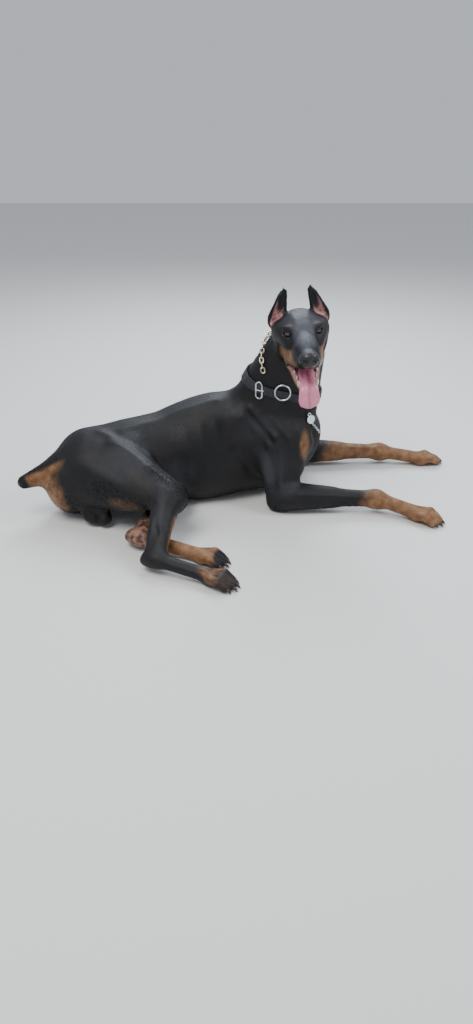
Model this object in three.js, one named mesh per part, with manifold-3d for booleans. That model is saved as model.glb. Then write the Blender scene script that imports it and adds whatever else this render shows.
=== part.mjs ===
// A life-size male Doberman pinscher lying on its left hip, head up and turned to its right, panting.
// Millimetres, +Z up. The dog faces +X, its right side faces -Y, and the floor is at Z = 0.
// The flesh is one smooth distance field of muscles and bones, meshed, simplified and parted with thin cuts.
import * as THREE from "three";
import { mergeVertices } from "three/addons/utils/BufferGeometryUtils.js";
import Module from "manifold-3d";

const wasm = await Module();
wasm.setup();
const rad = THREE.MathUtils.degToRad;

// Driving dimensions
const CUT_GAP = 0.4; // between neighbouring nodes
const WITHERS = 300; // height above the floor, lying
const EYE_SPACING = 70; // between the eye centres
const EYE_RADIUS = 11.5;
const MUZZLE = 118; // eyes to nose leather
const JAW_OPENING = 27; // degrees
const COLLAR_WIDTH = 58;
const COLLAR_THICKNESS = 4;

// Landmarks of the pose
const chestFront = [46, 80, 142];
const chestBack = [-140, 40, 138];
const loin = [-300, -22, 138];
const croup = [-424, -66, 144];
const tailRoot = [-496, -100, 150];
const tailTip = [-600, -128, 114];
const hipRight = [-398, -104, 168];
const kneeRight = [-208, -236, 124];
const hockRight = [-222, -396, 38];
const hindToesRight = [-88, -452, 20];
const hipLeft = [-410, -18, 78];
const kneeLeft = [-212, -112, 52];
const hockLeft = [-276, -284, 34];
const hindToesLeft = [-112, -352, 19];
const shoulderRight = [120, -16, 186];
const elbowRight = [104, -74, 46];
const wristRight = [356, -80, 40];
const foreToesRight = [470, -132, 20];
const shoulderLeft = [142, 188, 180];
const elbowLeft = [146, 244, 45];
const wristLeft = [418, 254, 38];
const foreToesLeft = [550, 240, 20];
const neckBase = [48, 62, 262];
const neckTop = [130, 20, 462];
const eyesCentre = [134, -104, 517];

// The head's own frame: x to the dog's right, y forward, z up, from the point between the eyes
const HEAD_YAW = 3;
const HEAD_PITCH = -7;
const HEAD_ROLL = 6;
const headFrame = new THREE.Matrix4()
  .makeTranslation(...eyesCentre)
  .multiply(new THREE.Matrix4().makeRotationZ(rad(180 + HEAD_YAW)))
  .multiply(new THREE.Matrix4().makeRotationX(rad(HEAD_PITCH)))
  .multiply(new THREE.Matrix4().makeRotationY(rad(HEAD_ROLL)));
const fromHead = (p) => new THREE.Vector3(...p).applyMatrix4(headFrame).toArray();

// Vector sums on plain arrays, which are quick in the field
const add = (a, b) => a.map((v, i) => v + b[i]);
const sub = (a, b) => a.map((v, i) => v - b[i]);
const mul = (a, s) => a.map((v) => v * s);
const mix = (a, b, t) => a.map((v, i) => v + (b[i] - v) * t);
const unit = (a) => mul(a, 1 / Math.hypot(...a));
const cross = (a, b) => [
  a[1] * b[2] - a[2] * b[1],
  a[2] * b[0] - a[0] * b[2],
  a[0] * b[1] - a[1] * b[0],
];

// Forms of the distance field. Each is a function of x, y, z that is below zero inside.

// A tapered muscle or bone from a to b, made thinner along the direction flat by the share thin.
function limb(a, b, ra, rb, flat = null, thin = 1) {
  const d = sub(b, a);
  const length2 = d[0] ** 2 + d[1] ** 2 + d[2] ** 2;
  const n = flat ? unit(flat) : [0, 0, 1];
  const stretch = 1 / thin - 1;
  return (x, y, z) => {
    const px = x - a[0];
    const py = y - a[1];
    const pz = z - a[2];
    const t = Math.min(1, Math.max(0, (px * d[0] + py * d[1] + pz * d[2]) / length2));
    let qx = px - d[0] * t;
    let qy = py - d[1] * t;
    let qz = pz - d[2] * t;
    const along = (qx * n[0] + qy * n[1] + qz * n[2]) * stretch;
    qx += n[0] * along;
    qy += n[1] * along;
    qz += n[2] * along;
    return Math.sqrt(qx * qx + qy * qy + qz * qz) - ra - (rb - ra) * t;
  };
}

// An egg of three radii, turned so that its second axis lies along the direction lie.
function egg(c, r, lie = [0, 1, 0]) {
  const v = unit(lie);
  const u = unit(cross(v, Math.abs(v[2]) > 0.9 ? [0, 1, 0] : [0, 0, 1]));
  const w = cross(u, v);
  return (x, y, z) => {
    const px = x - c[0];
    const py = y - c[1];
    const pz = z - c[2];
    const a = (px * u[0] + py * u[1] + pz * u[2]) / r[0];
    const b = (px * v[0] + py * v[1] + pz * v[2]) / r[1];
    const e = (px * w[0] + py * w[1] + pz * w[2]) / r[2];
    const k = Math.sqrt(a * a + b * b + e * e);
    const g = Math.sqrt((a / r[0]) ** 2 + (b / r[1]) ** 2 + (e / r[2]) ** 2);
    return g > 1e-9 ? (k * (k - 1)) / g : -Math.min(...r);
  };
}

// Joins forms with a fillet of about the given width.
function blend(width, ...forms) {
  return (x, y, z) => {
    let d = forms[0](x, y, z);
    for (let i = 1; i < forms.length; i++) {
      const e = forms[i](x, y, z);
      const h = Math.max(width - Math.abs(d - e), 0) / width;
      d = Math.min(d, e) - (h * h * width) / 4;
    }
    return d;
  };
}

// Cuts form b out of form a with a rounded edge.
function carve(width, a, ...cutters) {
  return (x, y, z) => {
    let d = a(x, y, z);
    for (const cutter of cutters) {
      const e = -cutter(x, y, z);
      const h = Math.max(width - Math.abs(d - e), 0) / width;
      d = Math.max(d, e) + (h * h * width) / 4;
    }
    return d;
  };
}

// A form and its mirror image across x = 0, for the head.
const paired = (form) => (x, y, z) => form(Math.abs(x), y, z);

// A form given in a moved frame, used in the frame that holds it.
function placed(form, matrix) {
  const m = matrix.clone().invert().elements;
  return (x, y, z) =>
    form(
      m[0] * x + m[4] * y + m[8] * z + m[12],
      m[1] * x + m[5] * y + m[9] * z + m[13],
      m[2] * x + m[6] * y + m[10] * z + m[14],
    );
}

// Meshing: each grid cube is six tetrahedra, which always gives a closed surface.
const TETRAHEDRA = [
  [1, 3],
  [3, 2],
  [2, 6],
  [6, 4],
  [4, 5],
  [5, 1],
].map(([a, b]) => [0, a, b, 7]);

function meshOf(form, low, high, cell) {
  const count = low.map((v, i) => Math.ceil((high[i] - v) / cell) + 1);
  const [nx, ny, nz] = count;
  const value = new Float64Array(nx * ny * nz);
  const at = (i, j, k) => i + nx * (j + ny * k);
  // Far from the surface a value at the middle of a block of cells stands for the whole block.
  const BLOCK = 4;
  const sure = BLOCK * cell * 1.8;
  const coarse = new Map();
  const blockValue = (i, j, k) => {
    const key = Math.floor(i / BLOCK) + 1000 * (Math.floor(j / BLOCK) + 1000 * Math.floor(k / BLOCK));
    if (!coarse.has(key)) {
      const [x, y, z] = [i, j, k].map((n, axis) => low[axis] + (Math.floor(n / BLOCK) + 0.5) * BLOCK * cell);
      coarse.set(key, form(x, y, z));
    }
    return coarse.get(key);
  };
  for (let k = 0; k < nz; k++) {
    for (let j = 0; j < ny; j++) {
      for (let i = 0; i < nx; i++) {
        const near = blockValue(i, j, k);
        if (Math.abs(near) > sure && i && j && k && i < nx - 1 && j < ny - 1 && k < nz - 1) {
          value[at(i, j, k)] = near;
          continue;
        }
        const edge = i === 0 || j === 0 || k === 0 || i === nx - 1 || j === ny - 1 || k === nz - 1;
        const d = form(low[0] + i * cell, low[1] + j * cell, low[2] + k * cell);
        value[at(i, j, k)] = edge ? Math.max(d, cell) : d === 0 ? 1e-6 : d;
      }
    }
  }
  const vertices = [];
  const triangles = [];
  const found = new Map();
  const place = (n) => [
    low[0] + (n % nx) * cell,
    low[1] + (Math.floor(n / nx) % ny) * cell,
    low[2] + Math.floor(n / (nx * ny)) * cell,
  ];
  const crossing = (p, q) => {
    const key = p < q ? p * value.length + q : q * value.length + p;
    if (!found.has(key)) {
      const t = value[p] / (value[p] - value[q]);
      found.set(key, vertices.length);
      vertices.push(mix(place(p), place(q), Math.min(0.94, Math.max(0.06, t))));
    }
    return found.get(key);
  };
  const corners = new Array(8);
  for (let k = 0; k < nz - 1; k++) {
    for (let j = 0; j < ny - 1; j++) {
      for (let i = 0; i < nx - 1; i++) {
        let inside = 0;
        for (let c = 0; c < 8; c++) {
          corners[c] = at(i + (c & 1), j + ((c >> 1) & 1), k + (c >> 2));
          if (value[corners[c]] < 0) inside++;
        }
        if (inside === 0 || inside === 8) continue;
        for (const tetrahedron of TETRAHEDRA) {
          const four = tetrahedron.map((c) => corners[c]);
          const ins = [0, 1, 2, 3].filter((c) => value[four[c]] < 0);
          const outs = [0, 1, 2, 3].filter((c) => value[four[c]] >= 0);
          if (ins.length === 0 || ins.length === 4) continue;
          const even = ([a, b, c, d]) =>
            [a > b, a > c, a > d, b > c, b > d, c > d].filter(Boolean).length % 2 === 0;
          const order = ins.length === 3 ? [...outs, ...ins] : [...ins, ...outs];
          const turned = even(order) === (ins.length !== 3);
          const e = (s, t) => crossing(four[order[s]], four[order[t]]);
          const loop = ins.length === 2 ? [e(0, 2), e(0, 3), e(1, 3), e(1, 2)] : [e(0, 1), e(0, 2), e(0, 3)];
          if (!turned) loop.reverse();
          for (let s = 1; s + 1 < loop.length; s++) triangles.push([loop[0], loop[s], loop[s + 1]]);
        }
      }
    }
  }
  for (const v of vertices) settle(form, v, cell / 2);
  return { vertices, triangles };
}

// Moves a vertex onto the surface of the form, along its gradient, by at most the reach.
function settle(form, v, reach) {
  const step = 0.4;
  for (let turn = 0; turn < 2; turn++) {
    const d = form(...v);
    const slope = [0, 1, 2].map((i) => {
      const a = [...v];
      const b = [...v];
      a[i] += step;
      b[i] -= step;
      return (form(...a) - form(...b)) / (2 * step);
    });
    const s2 = slope[0] ** 2 + slope[1] ** 2 + slope[2] ** 2;
    if (s2 < 1e-4) return;
    const move = Math.max(-reach, Math.min(reach, d / s2));
    for (let i = 0; i < 3; i++) v[i] -= slope[i] * move * 0.9;
  }
}

// Joins vertices edge by edge, cheapest first, until about the wanted number of triangles is left.
// The cost is the squared distance to the planes that met there, so flat places lose most.
function simplify({ vertices, triangles }, wanted) {
  const planes = vertices.map(() => new Float64Array(10));
  const around = vertices.map(() => new Set());
  const faces = triangles.map((t) => [...t]);
  const normalOf = (a, b, c) => cross(sub(b, a), sub(c, a));
  faces.forEach((t, f) => {
    const [a, b, c] = t.map((v) => vertices[v]);
    const n = normalOf(a, b, c);
    const size = Math.hypot(...n) || 1e-12;
    const [x, y, z] = mul(n, 1 / size);
    const w = -(x * a[0] + y * a[1] + z * a[2]);
    const q = [x * x, x * y, x * z, x * w, y * y, y * z, y * w, z * z, z * w, w * w];
    for (const v of t) {
      around[v].add(f);
      for (let i = 0; i < 10; i++) planes[v][i] += q[i] * size;
    }
  });
  const costAt = (q, [x, y, z]) =>
    q[0] * x * x + 2 * q[1] * x * y + 2 * q[2] * x * z + 2 * q[3] * x + q[4] * y * y +
    2 * q[5] * y * z + 2 * q[6] * y + q[7] * z * z + 2 * q[8] * z + q[9];
  const best = (a, b) => {
    const q = planes[a].map((v, i) => v + planes[b][i]);
    const soft = 1e-3 * (q[0] + q[4] + q[7]) + 1e-9;
    const mid = mix(vertices[a], vertices[b], 0.5);
    const m = new THREE.Matrix3().set(
      q[0] + soft, q[1], q[2],
      q[1], q[4] + soft, q[5],
      q[2], q[5], q[7] + soft,
    );
    const right = new THREE.Vector3(
      -q[3] + soft * mid[0],
      -q[6] + soft * mid[1],
      -q[8] + soft * mid[2],
    );
    const place = right.applyMatrix3(m.invert()).toArray();
    const reach = Math.hypot(...sub(vertices[a], vertices[b]));
    const far = Math.hypot(...sub(place, mid)) > 1.5 * reach;
    const spot = far ? mid : place;
    return { cost: costAt(q, spot) + 1e-4 * reach ** 4, spot };
  };
  const version = new Uint32Array(vertices.length);
  const alive = new Uint8Array(vertices.length).fill(1);
  const heap = [];
  const push = (item) => {
    let i = heap.push(item) - 1;
    while (i > 0 && heap[(i - 1) >> 1].cost > heap[i].cost) {
      const up = (i - 1) >> 1;
      [heap[up], heap[i]] = [heap[i], heap[up]];
      i = up;
    }
  };
  const pop = () => {
    const top = heap[0];
    const last = heap.pop();
    if (heap.length) {
      heap[0] = last;
      for (let i = 0; ; ) {
        let least = i;
        for (const c of [2 * i + 1, 2 * i + 2]) {
          if (c < heap.length && heap[c].cost < heap[least].cost) least = c;
        }
        if (least === i) break;
        [heap[least], heap[i]] = [heap[i], heap[least]];
        i = least;
      }
    }
    return top;
  };
  const offer = (a, b) => push({ ...best(a, b), a, b, va: version[a], vb: version[b] });
  faces.forEach(([a, b, c]) => {
    for (const [p, q] of [[a, b], [b, c], [c, a]]) if (p < q) offer(p, q);
  });
  const neighbours = (v) => {
    const near = new Set();
    for (const f of around[v]) for (const w of faces[f]) if (w !== v) near.add(w);
    return near;
  };
  let left = faces.length;
  while (left > wanted && heap.length) {
    const { a, b, va, vb, spot } = pop();
    if (!alive[a] || !alive[b] || version[a] !== va || version[b] !== vb) continue;
    const nearA = neighbours(a);
    const shared = [...neighbours(b)].filter((v) => nearA.has(v));
    if (shared.length !== 2) continue;
    const turnsOver = (v, other) =>
      [...around[v]].some((f) => {
        if (faces[f].includes(other)) return false;
        const before = faces[f].map((w) => vertices[w]);
        const after = faces[f].map((w) => (w === v ? spot : vertices[w]));
        const n = normalOf(...before);
        const m = normalOf(...after);
        const dot = n[0] * m[0] + n[1] * m[1] + n[2] * m[2];
        return dot < 0.3 * Math.hypot(...n) * Math.hypot(...m);
      });
    if (turnsOver(a, b) || turnsOver(b, a)) continue;
    vertices[a] = spot;
    for (let i = 0; i < 10; i++) planes[a][i] += planes[b][i];
    for (const f of around[b]) {
      if (faces[f].includes(a)) {
        for (const w of faces[f]) if (w !== b) around[w].delete(f);
        faces[f] = null;
        left--;
      } else {
        faces[f] = faces[f].map((w) => (w === b ? a : w));
        around[a].add(f);
      }
    }
    around[b].clear();
    alive[b] = 0;
    version[a]++;
    for (const w of neighbours(a)) offer(a, w);
  }
  return { vertices, triangles: faces.filter(Boolean) };
}

// Solids
function solidFrom({ vertices, triangles }) {
  const used = new Map();
  const flat = [];
  const corners = triangles.flat().map((v) => {
    if (!used.has(v)) {
      used.set(v, used.size);
      flat.push(...vertices[v]);
    }
    return used.get(v);
  });
  return new wasm.Manifold(
    new wasm.Mesh({
      numProp: 3,
      vertProperties: new Float32Array(flat),
      triVerts: new Uint32Array(corners),
    }),
  );
}

function solidOf(geometry, matrix = new THREE.Matrix4()) {
  const bare = geometry.clone().applyMatrix4(matrix);
  bare.deleteAttribute("normal");
  bare.deleteAttribute("uv");
  const merged = mergeVertices(bare, 1e-3);
  return new wasm.Manifold(
    new wasm.Mesh({
      numProp: 3,
      vertProperties: merged.attributes.position.array,
      triVerts: new Uint32Array(merged.index.array),
    }),
  );
}

function geometryOf(solid) {
  const mesh = solid.getMesh();
  const geometry = new THREE.BufferGeometry();
  geometry.setAttribute("position", new THREE.BufferAttribute(mesh.vertProperties, 3));
  geometry.setIndex(new THREE.BufferAttribute(mesh.triVerts, 1));
  geometry.computeVertexNormals();
  return geometry;
}

// Only the largest closed surface of a node is kept.
const largest = (solid) => solid.decompose().sort((a, b) => b.volume() - a.volume())[0];

// Flesh: a form meshed between two corners, then simplified.
const flesh = (form, low, high, cell, wanted) => solidFrom(simplify(meshOf(form, low, high, cell), wanted));

// A solid moved outwards along its vertex normals, which keeps a gap when it is cut from its neighbour.
function grown(solid, by) {
  const geometry = geometryOf(solid);
  const place = geometry.attributes.position;
  const normal = geometry.attributes.normal;
  for (let i = 0; i < place.count; i++) {
    place.setXYZ(
      i,
      place.getX(i) + normal.getX(i) * by,
      place.getY(i) + normal.getY(i) * by,
      place.getZ(i) + normal.getZ(i) * by,
    );
  }
  return solidOf(geometry);
}

// A box beyond a cutting face: its face is centred at the point and looks back along the direction.
function block(point, direction, width, height, depth, gap = 0) {
  const v = unit(direction);
  const turn = new THREE.Quaternion().setFromUnitVectors(
    new THREE.Vector3(0, 0, 1),
    new THREE.Vector3(...v),
  );
  const centre = new THREE.Vector3(...add(point, mul(v, depth / 2 - gap)));
  const size = new THREE.Vector3(1, 1, 1);
  return solidOf(
    new THREE.BoxGeometry(width + 2 * gap, height + 2 * gap, depth),
    new THREE.Matrix4().compose(centre, turn, size),
  );
}

const UNDERGROUND = new THREE.Matrix4().makeTranslation(0, 0, -200);
const floor = solidOf(new THREE.BoxGeometry(3000, 3000, 400), UNDERGROUND);

// Trunk: rib cage, loin, croup, shoulders and buttocks
const acrossTrunk = [-0.22, 0.95, -0.1];
const acrossRump = [-0.2, 0.8, -0.55];
const ribs = limb(chestBack, chestFront, 138, 136, acrossTrunk, 0.8);
const withersRidge = limb([-80, 54, WITHERS - 56], [24, 74, WITHERS - 46], 50, 48);
const loins = limb(loin, chestBack, 100, 130, acrossTrunk, 0.86);
const rump = limb(croup, loin, 100, 104, acrossRump, 0.85);
const forechest = egg([124, 82, 160], [70, 66, 92], [1, 0, 0]);
const breastbone = egg([166, 84, 184], [34, 36, 50], [1, 0, 0]);
const buttockRight = egg([-486, -122, 108], [56, 62, 74], [0.9, -0.3, 0.1]);
const buttockLeft = egg([-480, -82, 62], [60, 66, 62], [0.9, -0.3, 0]);
const testicles = blend(
  16,
  egg([-422, -156, 33], [26, 30, 27], [0.6, -0.8, 0]),
  egg([-388, -168, 29], [23, 28, 25], [0.7, -0.7, 0]),
  limb([-420, -110, 60], [-408, -150, 42], 24, 24),
);
const tailForm = limb(tailTip, tailRoot, 20, 38, [0, 1, 0], 0.9);

function shoulderAndArm(shoulder, elbow, side) {
  const blade = limb(
    [-16, chestFront[1] - 8 - side * 62, WITHERS - 62],
    add(shoulder, [-14, side * 14, -2]),
    40,
    66,
    [0, 1, 0.2],
    0.62,
  );
  const armTop = add(shoulder, [-8, side * 10, -12]);
  const upperArm = limb(armTop, add(elbow, [-4, 4 * side, 8]), 66, 40, [0, 1, 0], 0.72);
  const tricepsTop = add(shoulder, [-70, side * 12, 0]);
  const triceps = limb(tricepsTop, add(elbow, [-18, 2 * side, 16]), 50, 30, [0, 1, 0], 0.6);
  const elbowPoint = egg(add(elbow, [-18, 2 * side, -23]), [21, 27, 24], [1, 0, 0.4]);
  return blend(34, blade, upperArm, triceps, elbowPoint);
}
const armRight = shoulderAndArm(shoulderRight, elbowRight, 1);
const armLeft = shoulderAndArm(shoulderLeft, elbowLeft, -1);

// Fore leg: forearm with its muscle and tendon, wrist, and a paw of four toes
function foreLeg(elbow, wrist, toes) {
  const along = unit(sub(wrist, elbow));
  const muscle = limb(add(elbow, mul(along, 6)), mix(elbow, wrist, 0.5), 40, 27);
  const bone = limb(elbow, wrist, 33, 22);
  const joint = egg(wrist, [26, 27, 24], along);
  const padBack = egg(add(wrist, [8, 0, -17]), [11, 12, 10], along);
  const pastern = limb(add(wrist, mul(along, 6)), toes, 22, 23, [0, 0, 1], 0.86);
  return blend(20, muscle, bone, joint, padBack, pastern);
}

// The four toes of a paw, fanned about its direction; each has a knuckle arch and a claw.
const TOE_FAN = [-1.5, -0.52, 0.52, 1.5];
function toePoints(toes, heading, reach) {
  const ahead = unit([heading[0], heading[1], 0]);
  const side = [-ahead[1], ahead[0], 0];
  return TOE_FAN.map((fan) => {
    const middle = 1 - Math.abs(fan) / 3.2;
    const spot = (apart, out, rise) =>
      add(add(toes, mul(side, fan * apart)), add(mul(ahead, out), [0, 0, rise]));
    const root = spot(13, 0, 2);
    const knuckle = spot(15, reach * (0.3 + middle * 0.16), 5);
    const tip = spot(15.5, reach * (0.45 + middle * 0.55), 0);
    return { root, knuckle, tip: [tip[0], tip[1], 12], ahead };
  });
}

function paw(toes, heading, reach, size) {
  const forms = toePoints(toes, heading, reach).flatMap(({ root, knuckle, tip }) => [
    limb(root, knuckle, 11 * size, 12 * size),
    limb(knuckle, tip, 12 * size, 10.5 * size),
  ]);
  const ahead = unit([heading[0], heading[1], 0]);
  const pad = egg(add(toes, add(mul(ahead, -2), [0, 0, -8])), [24 * size, 20, 12], ahead);
  return blend(7, blend(5, ...forms), pad);
}

function clawsOf(toes, heading, reach) {
  return toePoints(toes, heading, reach).map(({ tip, ahead }) => {
    const start = new THREE.Vector3(...add(tip, mul(ahead, 2)));
    const end = new THREE.Vector3(...add([tip[0], tip[1], 4.5], mul(ahead, 21)));
    const turn = new THREE.Quaternion().setFromUnitVectors(
      new THREE.Vector3(0, 1, 0),
      end.clone().sub(start).normalize(),
    );
    const length = end.distanceTo(start);
    const middle = start.clone().add(end).multiplyScalar(0.5);
    return solidOf(
      new THREE.ConeGeometry(4.2, length, 6),
      new THREE.Matrix4().compose(middle, turn, new THREE.Vector3(1, 1, 1)),
    );
  });
}

// Hind leg: thigh, shank with its calf, hock with its point, and the long foot
function thigh(hip, knee, across) {
  const mass = limb(hip, knee, 84, 50, across, 0.66);
  const front = limb(add(hip, [70, -8, 22]), add(knee, [0, 0, 6]), 56, 38, across, 0.7);
  return blend(30, mass, front);
}

function hindLeg(knee, hock, toes, hockPoint) {
  const kneeCap = egg(add(knee, [4, 0, -2]), [35, 37, 36]);
  const shin = limb(knee, hock, 36, 19);
  const calf = limb(mix(knee, hock, 0.12), mix(knee, hockPoint, 0.66), 33, 17);
  const tendon = limb(mix(knee, hockPoint, 0.5), hockPoint, 14, 12);
  const heel = egg(hockPoint, [14, 19, 15], sub(hock, hockPoint));
  const joint = egg(hock, [21, 23, 20]);
  const cannon = limb(mix(hock, hockPoint, 0.3), toes, 20, 19, [0, 0, 1], 0.9);
  return blend(18, kneeCap, shin, calf, tendon, heel, joint, cannon);
}

const hamstring = limb([-436, -140, 104], [-262, -210, 100], 50, 36);
const thighRight = blend(24, thigh(hipRight, kneeRight, [0.16, -0.34, 0.86]), hamstring);
const thighLeft = thigh(hipLeft, kneeLeft, [0, 0, 1]);
const hockPointRight = add(hockRight, [-26, 4, -6]);
const hockPointLeft = add(hockLeft, [-24, 10, -4]);
const foreHeadingRight = [0.84, -0.5];
const foreHeadingLeft = [0.97, 0.24];
const hindHeadingRight = [0.9, -0.42];
const hindHeadingLeft = [0.94, -0.34];
const FORE_REACH = 62;
const HIND_REACH = 60;
const foreFormRight = blend(
  14,
  foreLeg(elbowRight, wristRight, foreToesRight),
  paw(foreToesRight, foreHeadingRight, FORE_REACH, 1),
);
const foreFormLeft = blend(
  14,
  foreLeg(elbowLeft, wristLeft, foreToesLeft),
  paw(foreToesLeft, foreHeadingLeft, FORE_REACH, 1),
);
const hindFormRight = blend(
  14,
  hindLeg(kneeRight, hockRight, hindToesRight, hockPointRight),
  paw(hindToesRight, hindHeadingRight, HIND_REACH, 0.95),
);
const hindFormLeft = blend(
  14,
  hindLeg(kneeLeft, hockLeft, hindToesLeft, hockPointLeft),
  paw(hindToesLeft, hindHeadingLeft, HIND_REACH, 0.95),
);

// Neck: arched crest, throat and the muscles down to the breastbone
const neckBar = limb(neckBase, neckTop, 88, 56, [0.55, -0.8, 0.1], 0.86);
const crest = limb([2, 66, WITHERS - 44], add(neckTop, [-14, 34, -6]), 50, 44);
const throat = limb([134, 46, 246], add(neckTop, [26, -14, -40]), 60, 48);
const neckForm = blend(46, neckBar, crest, throat);

// Head, in its own frame
const jawHinge = [0, -70, -46];
const jawFrame = new THREE.Matrix4()
  .makeTranslation(...jawHinge)
  .multiply(new THREE.Matrix4().makeRotationX(rad(-JAW_OPENING)))
  .multiply(new THREE.Matrix4().makeTranslation(...mul(jawHinge, -1)));
const eyeCentre = [EYE_SPACING / 2, 0, 0];
const eyeOut = unit([0.5, 0.85, 0.08]);

const skull = egg([0, -62, -10], [56, 76, 38]);
const brow = egg([0, -26, 3], [44, 50, 27]);
const muzzleBack = limb([0, 0, -16], [0, 66, -27], 37, 30, [1, 0, 0], 0.96);
const muzzleFront = limb([0, 60, -26], [0, MUZZLE - 22, -31], 31, 25);
const lips = paired(limb([30, 6, -50], [14, MUZZLE - 24, -43], 16, 13));
const flews = paired(limb([41, 4, -66], [22, 72, -54], 15, 11, [1, 0, 0], 0.6));
const noseLeather = egg([0, MUZZLE - 3, -25], [26, 16, 19]);
const noseTop = egg([0, MUZZLE - 10, -16], [19, 18, 12]);
const nostrils = paired(egg([12.5, MUZZLE + 11, -26], [7, 9, 6], [-0.45, 1, 0.2]));
const philtrum = limb([0, MUZZLE + 15, -33], [0, MUZZLE + 5, -50], 2.5, 3);
const cheekbones = paired(egg([49, -38, -14], [20, 48, 22], [-0.22, 1, 0]));
const chewing = paired(egg([47, -66, -42], [23, 38, 40]));
const underEye = paired(egg([35, 4, -33], [13, 26, 22]));
const brows = paired(egg([30, 1, 14], [17, 12, 6], [0.2, 1, 0]));
const lidBall = paired(egg(eyeCentre, [14.6, 14.6, 14.6]));
const lidSlit = paired(egg(add(eyeCentre, mul(eyeOut, 12)), [11.5, 13, 6], eyeOut));
const cornerPit = paired(egg([EYE_SPACING / 2 - 12.5, 11, -2.5], [6, 6, 3.8]));
const palate = egg([0, 46, -61], [22, 64, 19]);
const cheekWeb = paired(limb([44, -30, -52], [42, -6, -82], 17, 12, [1, 0, 0], 0.5));
const upperHead = carve(
  5,
  blend(
    7,
    blend(24, skull, brow, cheekbones, chewing, underEye),
    blend(16, muzzleBack, muzzleFront, lips, flews, brows),
    lidBall,
    blend(8, noseLeather, noseTop),
  ),
  palate,
  nostrils,
  philtrum,
);
const jawBone = paired(limb([37, -40, -66], [12, 78, -61], 17, 12.5));
const chin = egg([0, 84, -60], [17, 15, 13]);
const jawFloor = egg([0, 6, -68], [32, 84, 12]);
const tongueBed = egg([0, 44, -47], [17, 52, 13]);
const jawForm = placed(carve(4, blend(14, jawBone, chin, jawFloor), tongueBed), jawFrame);
const throatLatch = egg([0, -84, -66], [44, 46, 38]);
const neckInHead = placed(neckForm, headFrame.clone().invert());
const headForm = carve(
  2.5,
  blend(22, blend(14, upperHead, jawForm, cheekWeb), throatLatch, neckInHead),
  lidSlit,
  cornerPit,
);

// Ears: cropped, tall, open to the front and the side
const earRoot = [55, -84, 6];
const earTip = [25, -87, 97];
const earFacing = [0.3, 1, 0];
const earLeaf = limb(earRoot, earTip, 26, 3.5, earFacing, 0.34);
const earBell = limb([69, -83, -6], [44, -86, 62], 11, 5, earFacing, 0.6);
const earCup = limb(add(earRoot, [4, 9, -2]), add(earTip, [2, 6, -12]), 19, 2.5, earFacing, 0.36);
const earForm = paired(carve(3, blend(14, earLeaf, earBell), earCup));
const headWithEars = blend(9, headForm, earForm);

// The whole body but the ears, and the feet that lie beside each other
const trunkForm = blend(
  26,
  blend(60, ribs, withersRidge, loins, rump, forechest, breastbone),
  blend(30, buttockRight, buttockLeft),
  armRight,
  armLeft,
  placed(headForm, headFrame),
);
const trunkWithLegs = blend(
  16,
  blend(30, trunkForm, thighRight, thighLeft, tailForm),
  hindLegStub(kneeRight, hockRight, hockPointRight),
  hindLegStub(kneeLeft, hockLeft, hockPointLeft),
  foreFormRight,
  foreFormLeft,
  testicles,
);

// The upper part of a shank alone, so that the trunk's mesh and the leg's own agree where they are parted
function hindLegStub(knee, hock, hockPoint) {
  return hindLeg(knee, hock, mix(hock, knee, 0.2), hockPoint);
}

// Blocks that part the body: beyond each one's face is the named limb
const neckSide = unit([0.2, -0.2, 0.96]);
const seamOfNeck = [74, 55, 310.5];
const neckCut = (gap) => block(seamOfNeck, neckSide, 420, 420, 400, gap);
const nape = unit([0.15, -0.62, 0.77]);
const headCut = (gap) => block([112, 14, 476], nape, 420, 420, 400, gap);
const WIDE = 900; // a block that holds a whole limb, where only that limb is cut by it
const forearmRightCut = (gap, size = 110) => block([148, -78, 45], [1, 0, 0], size, size, 700, gap);
const forearmLeftCut = (gap, size = 110) => block([192, 250, 45], [1, 0, 0], size, size, 700, gap);
const tailCut = (gap) => block(mix(tailRoot, tailTip, 0.3), sub(tailTip, tailRoot), 120, 120, 200, gap);
const shankRightCut = (gap, size = 120) =>
  block(mix(kneeRight, hockRight, 0.22), sub(hockRight, kneeRight), size, size, 330, gap);
const shankLeftCut = (gap, size = 96) =>
  block(mix(kneeLeft, hockLeft, 0.28), sub(hockLeft, kneeLeft), size, size, 330, gap);

const nodes = [];
const colours = {
  coat: "#1c1d21",
  rust: "#a5673a",
  pink: "#dd8ba4",
  eye: "#3a2414",
  metal: "#b9bcc2",
  strap: "#101114",
  tag: "#cfe0ea",
};
function node(name, solid, colour, roughness = 0.6, metalness = 0) {
  const material = new THREE.MeshStandardMaterial({ color: colour, roughness, metalness });
  const mesh = new THREE.Mesh(geometryOf(largest(solid.subtract(floor))), material);
  mesh.name = name;
  nodes.push(mesh);
  return mesh;
}

let torso = flesh(trunkWithLegs, [-560, -300, -12], [290, 340, 400], 12, 2400).subtract(neckCut(CUT_GAP));
for (const cut of [forearmRightCut, forearmLeftCut, tailCut, shankRightCut, shankLeftCut]) {
  torso = torso.subtract(cut(CUT_GAP));
}
node("torso", torso, colours.coat);
const neckFlesh = flesh(trunkWithLegs, [-70, -130, 210], [260, 190, 560], 8, 900);
const neck = neckFlesh.intersect(neckCut(0)).subtract(headCut(CUT_GAP));
node("neck", neck, colours.coat);
const tail = flesh(trunkWithLegs, [-640, -190, 60], [-440, -40, 240], 6, 300);
node("tail", tail.intersect(tailCut(0)), colours.coat);

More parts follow.
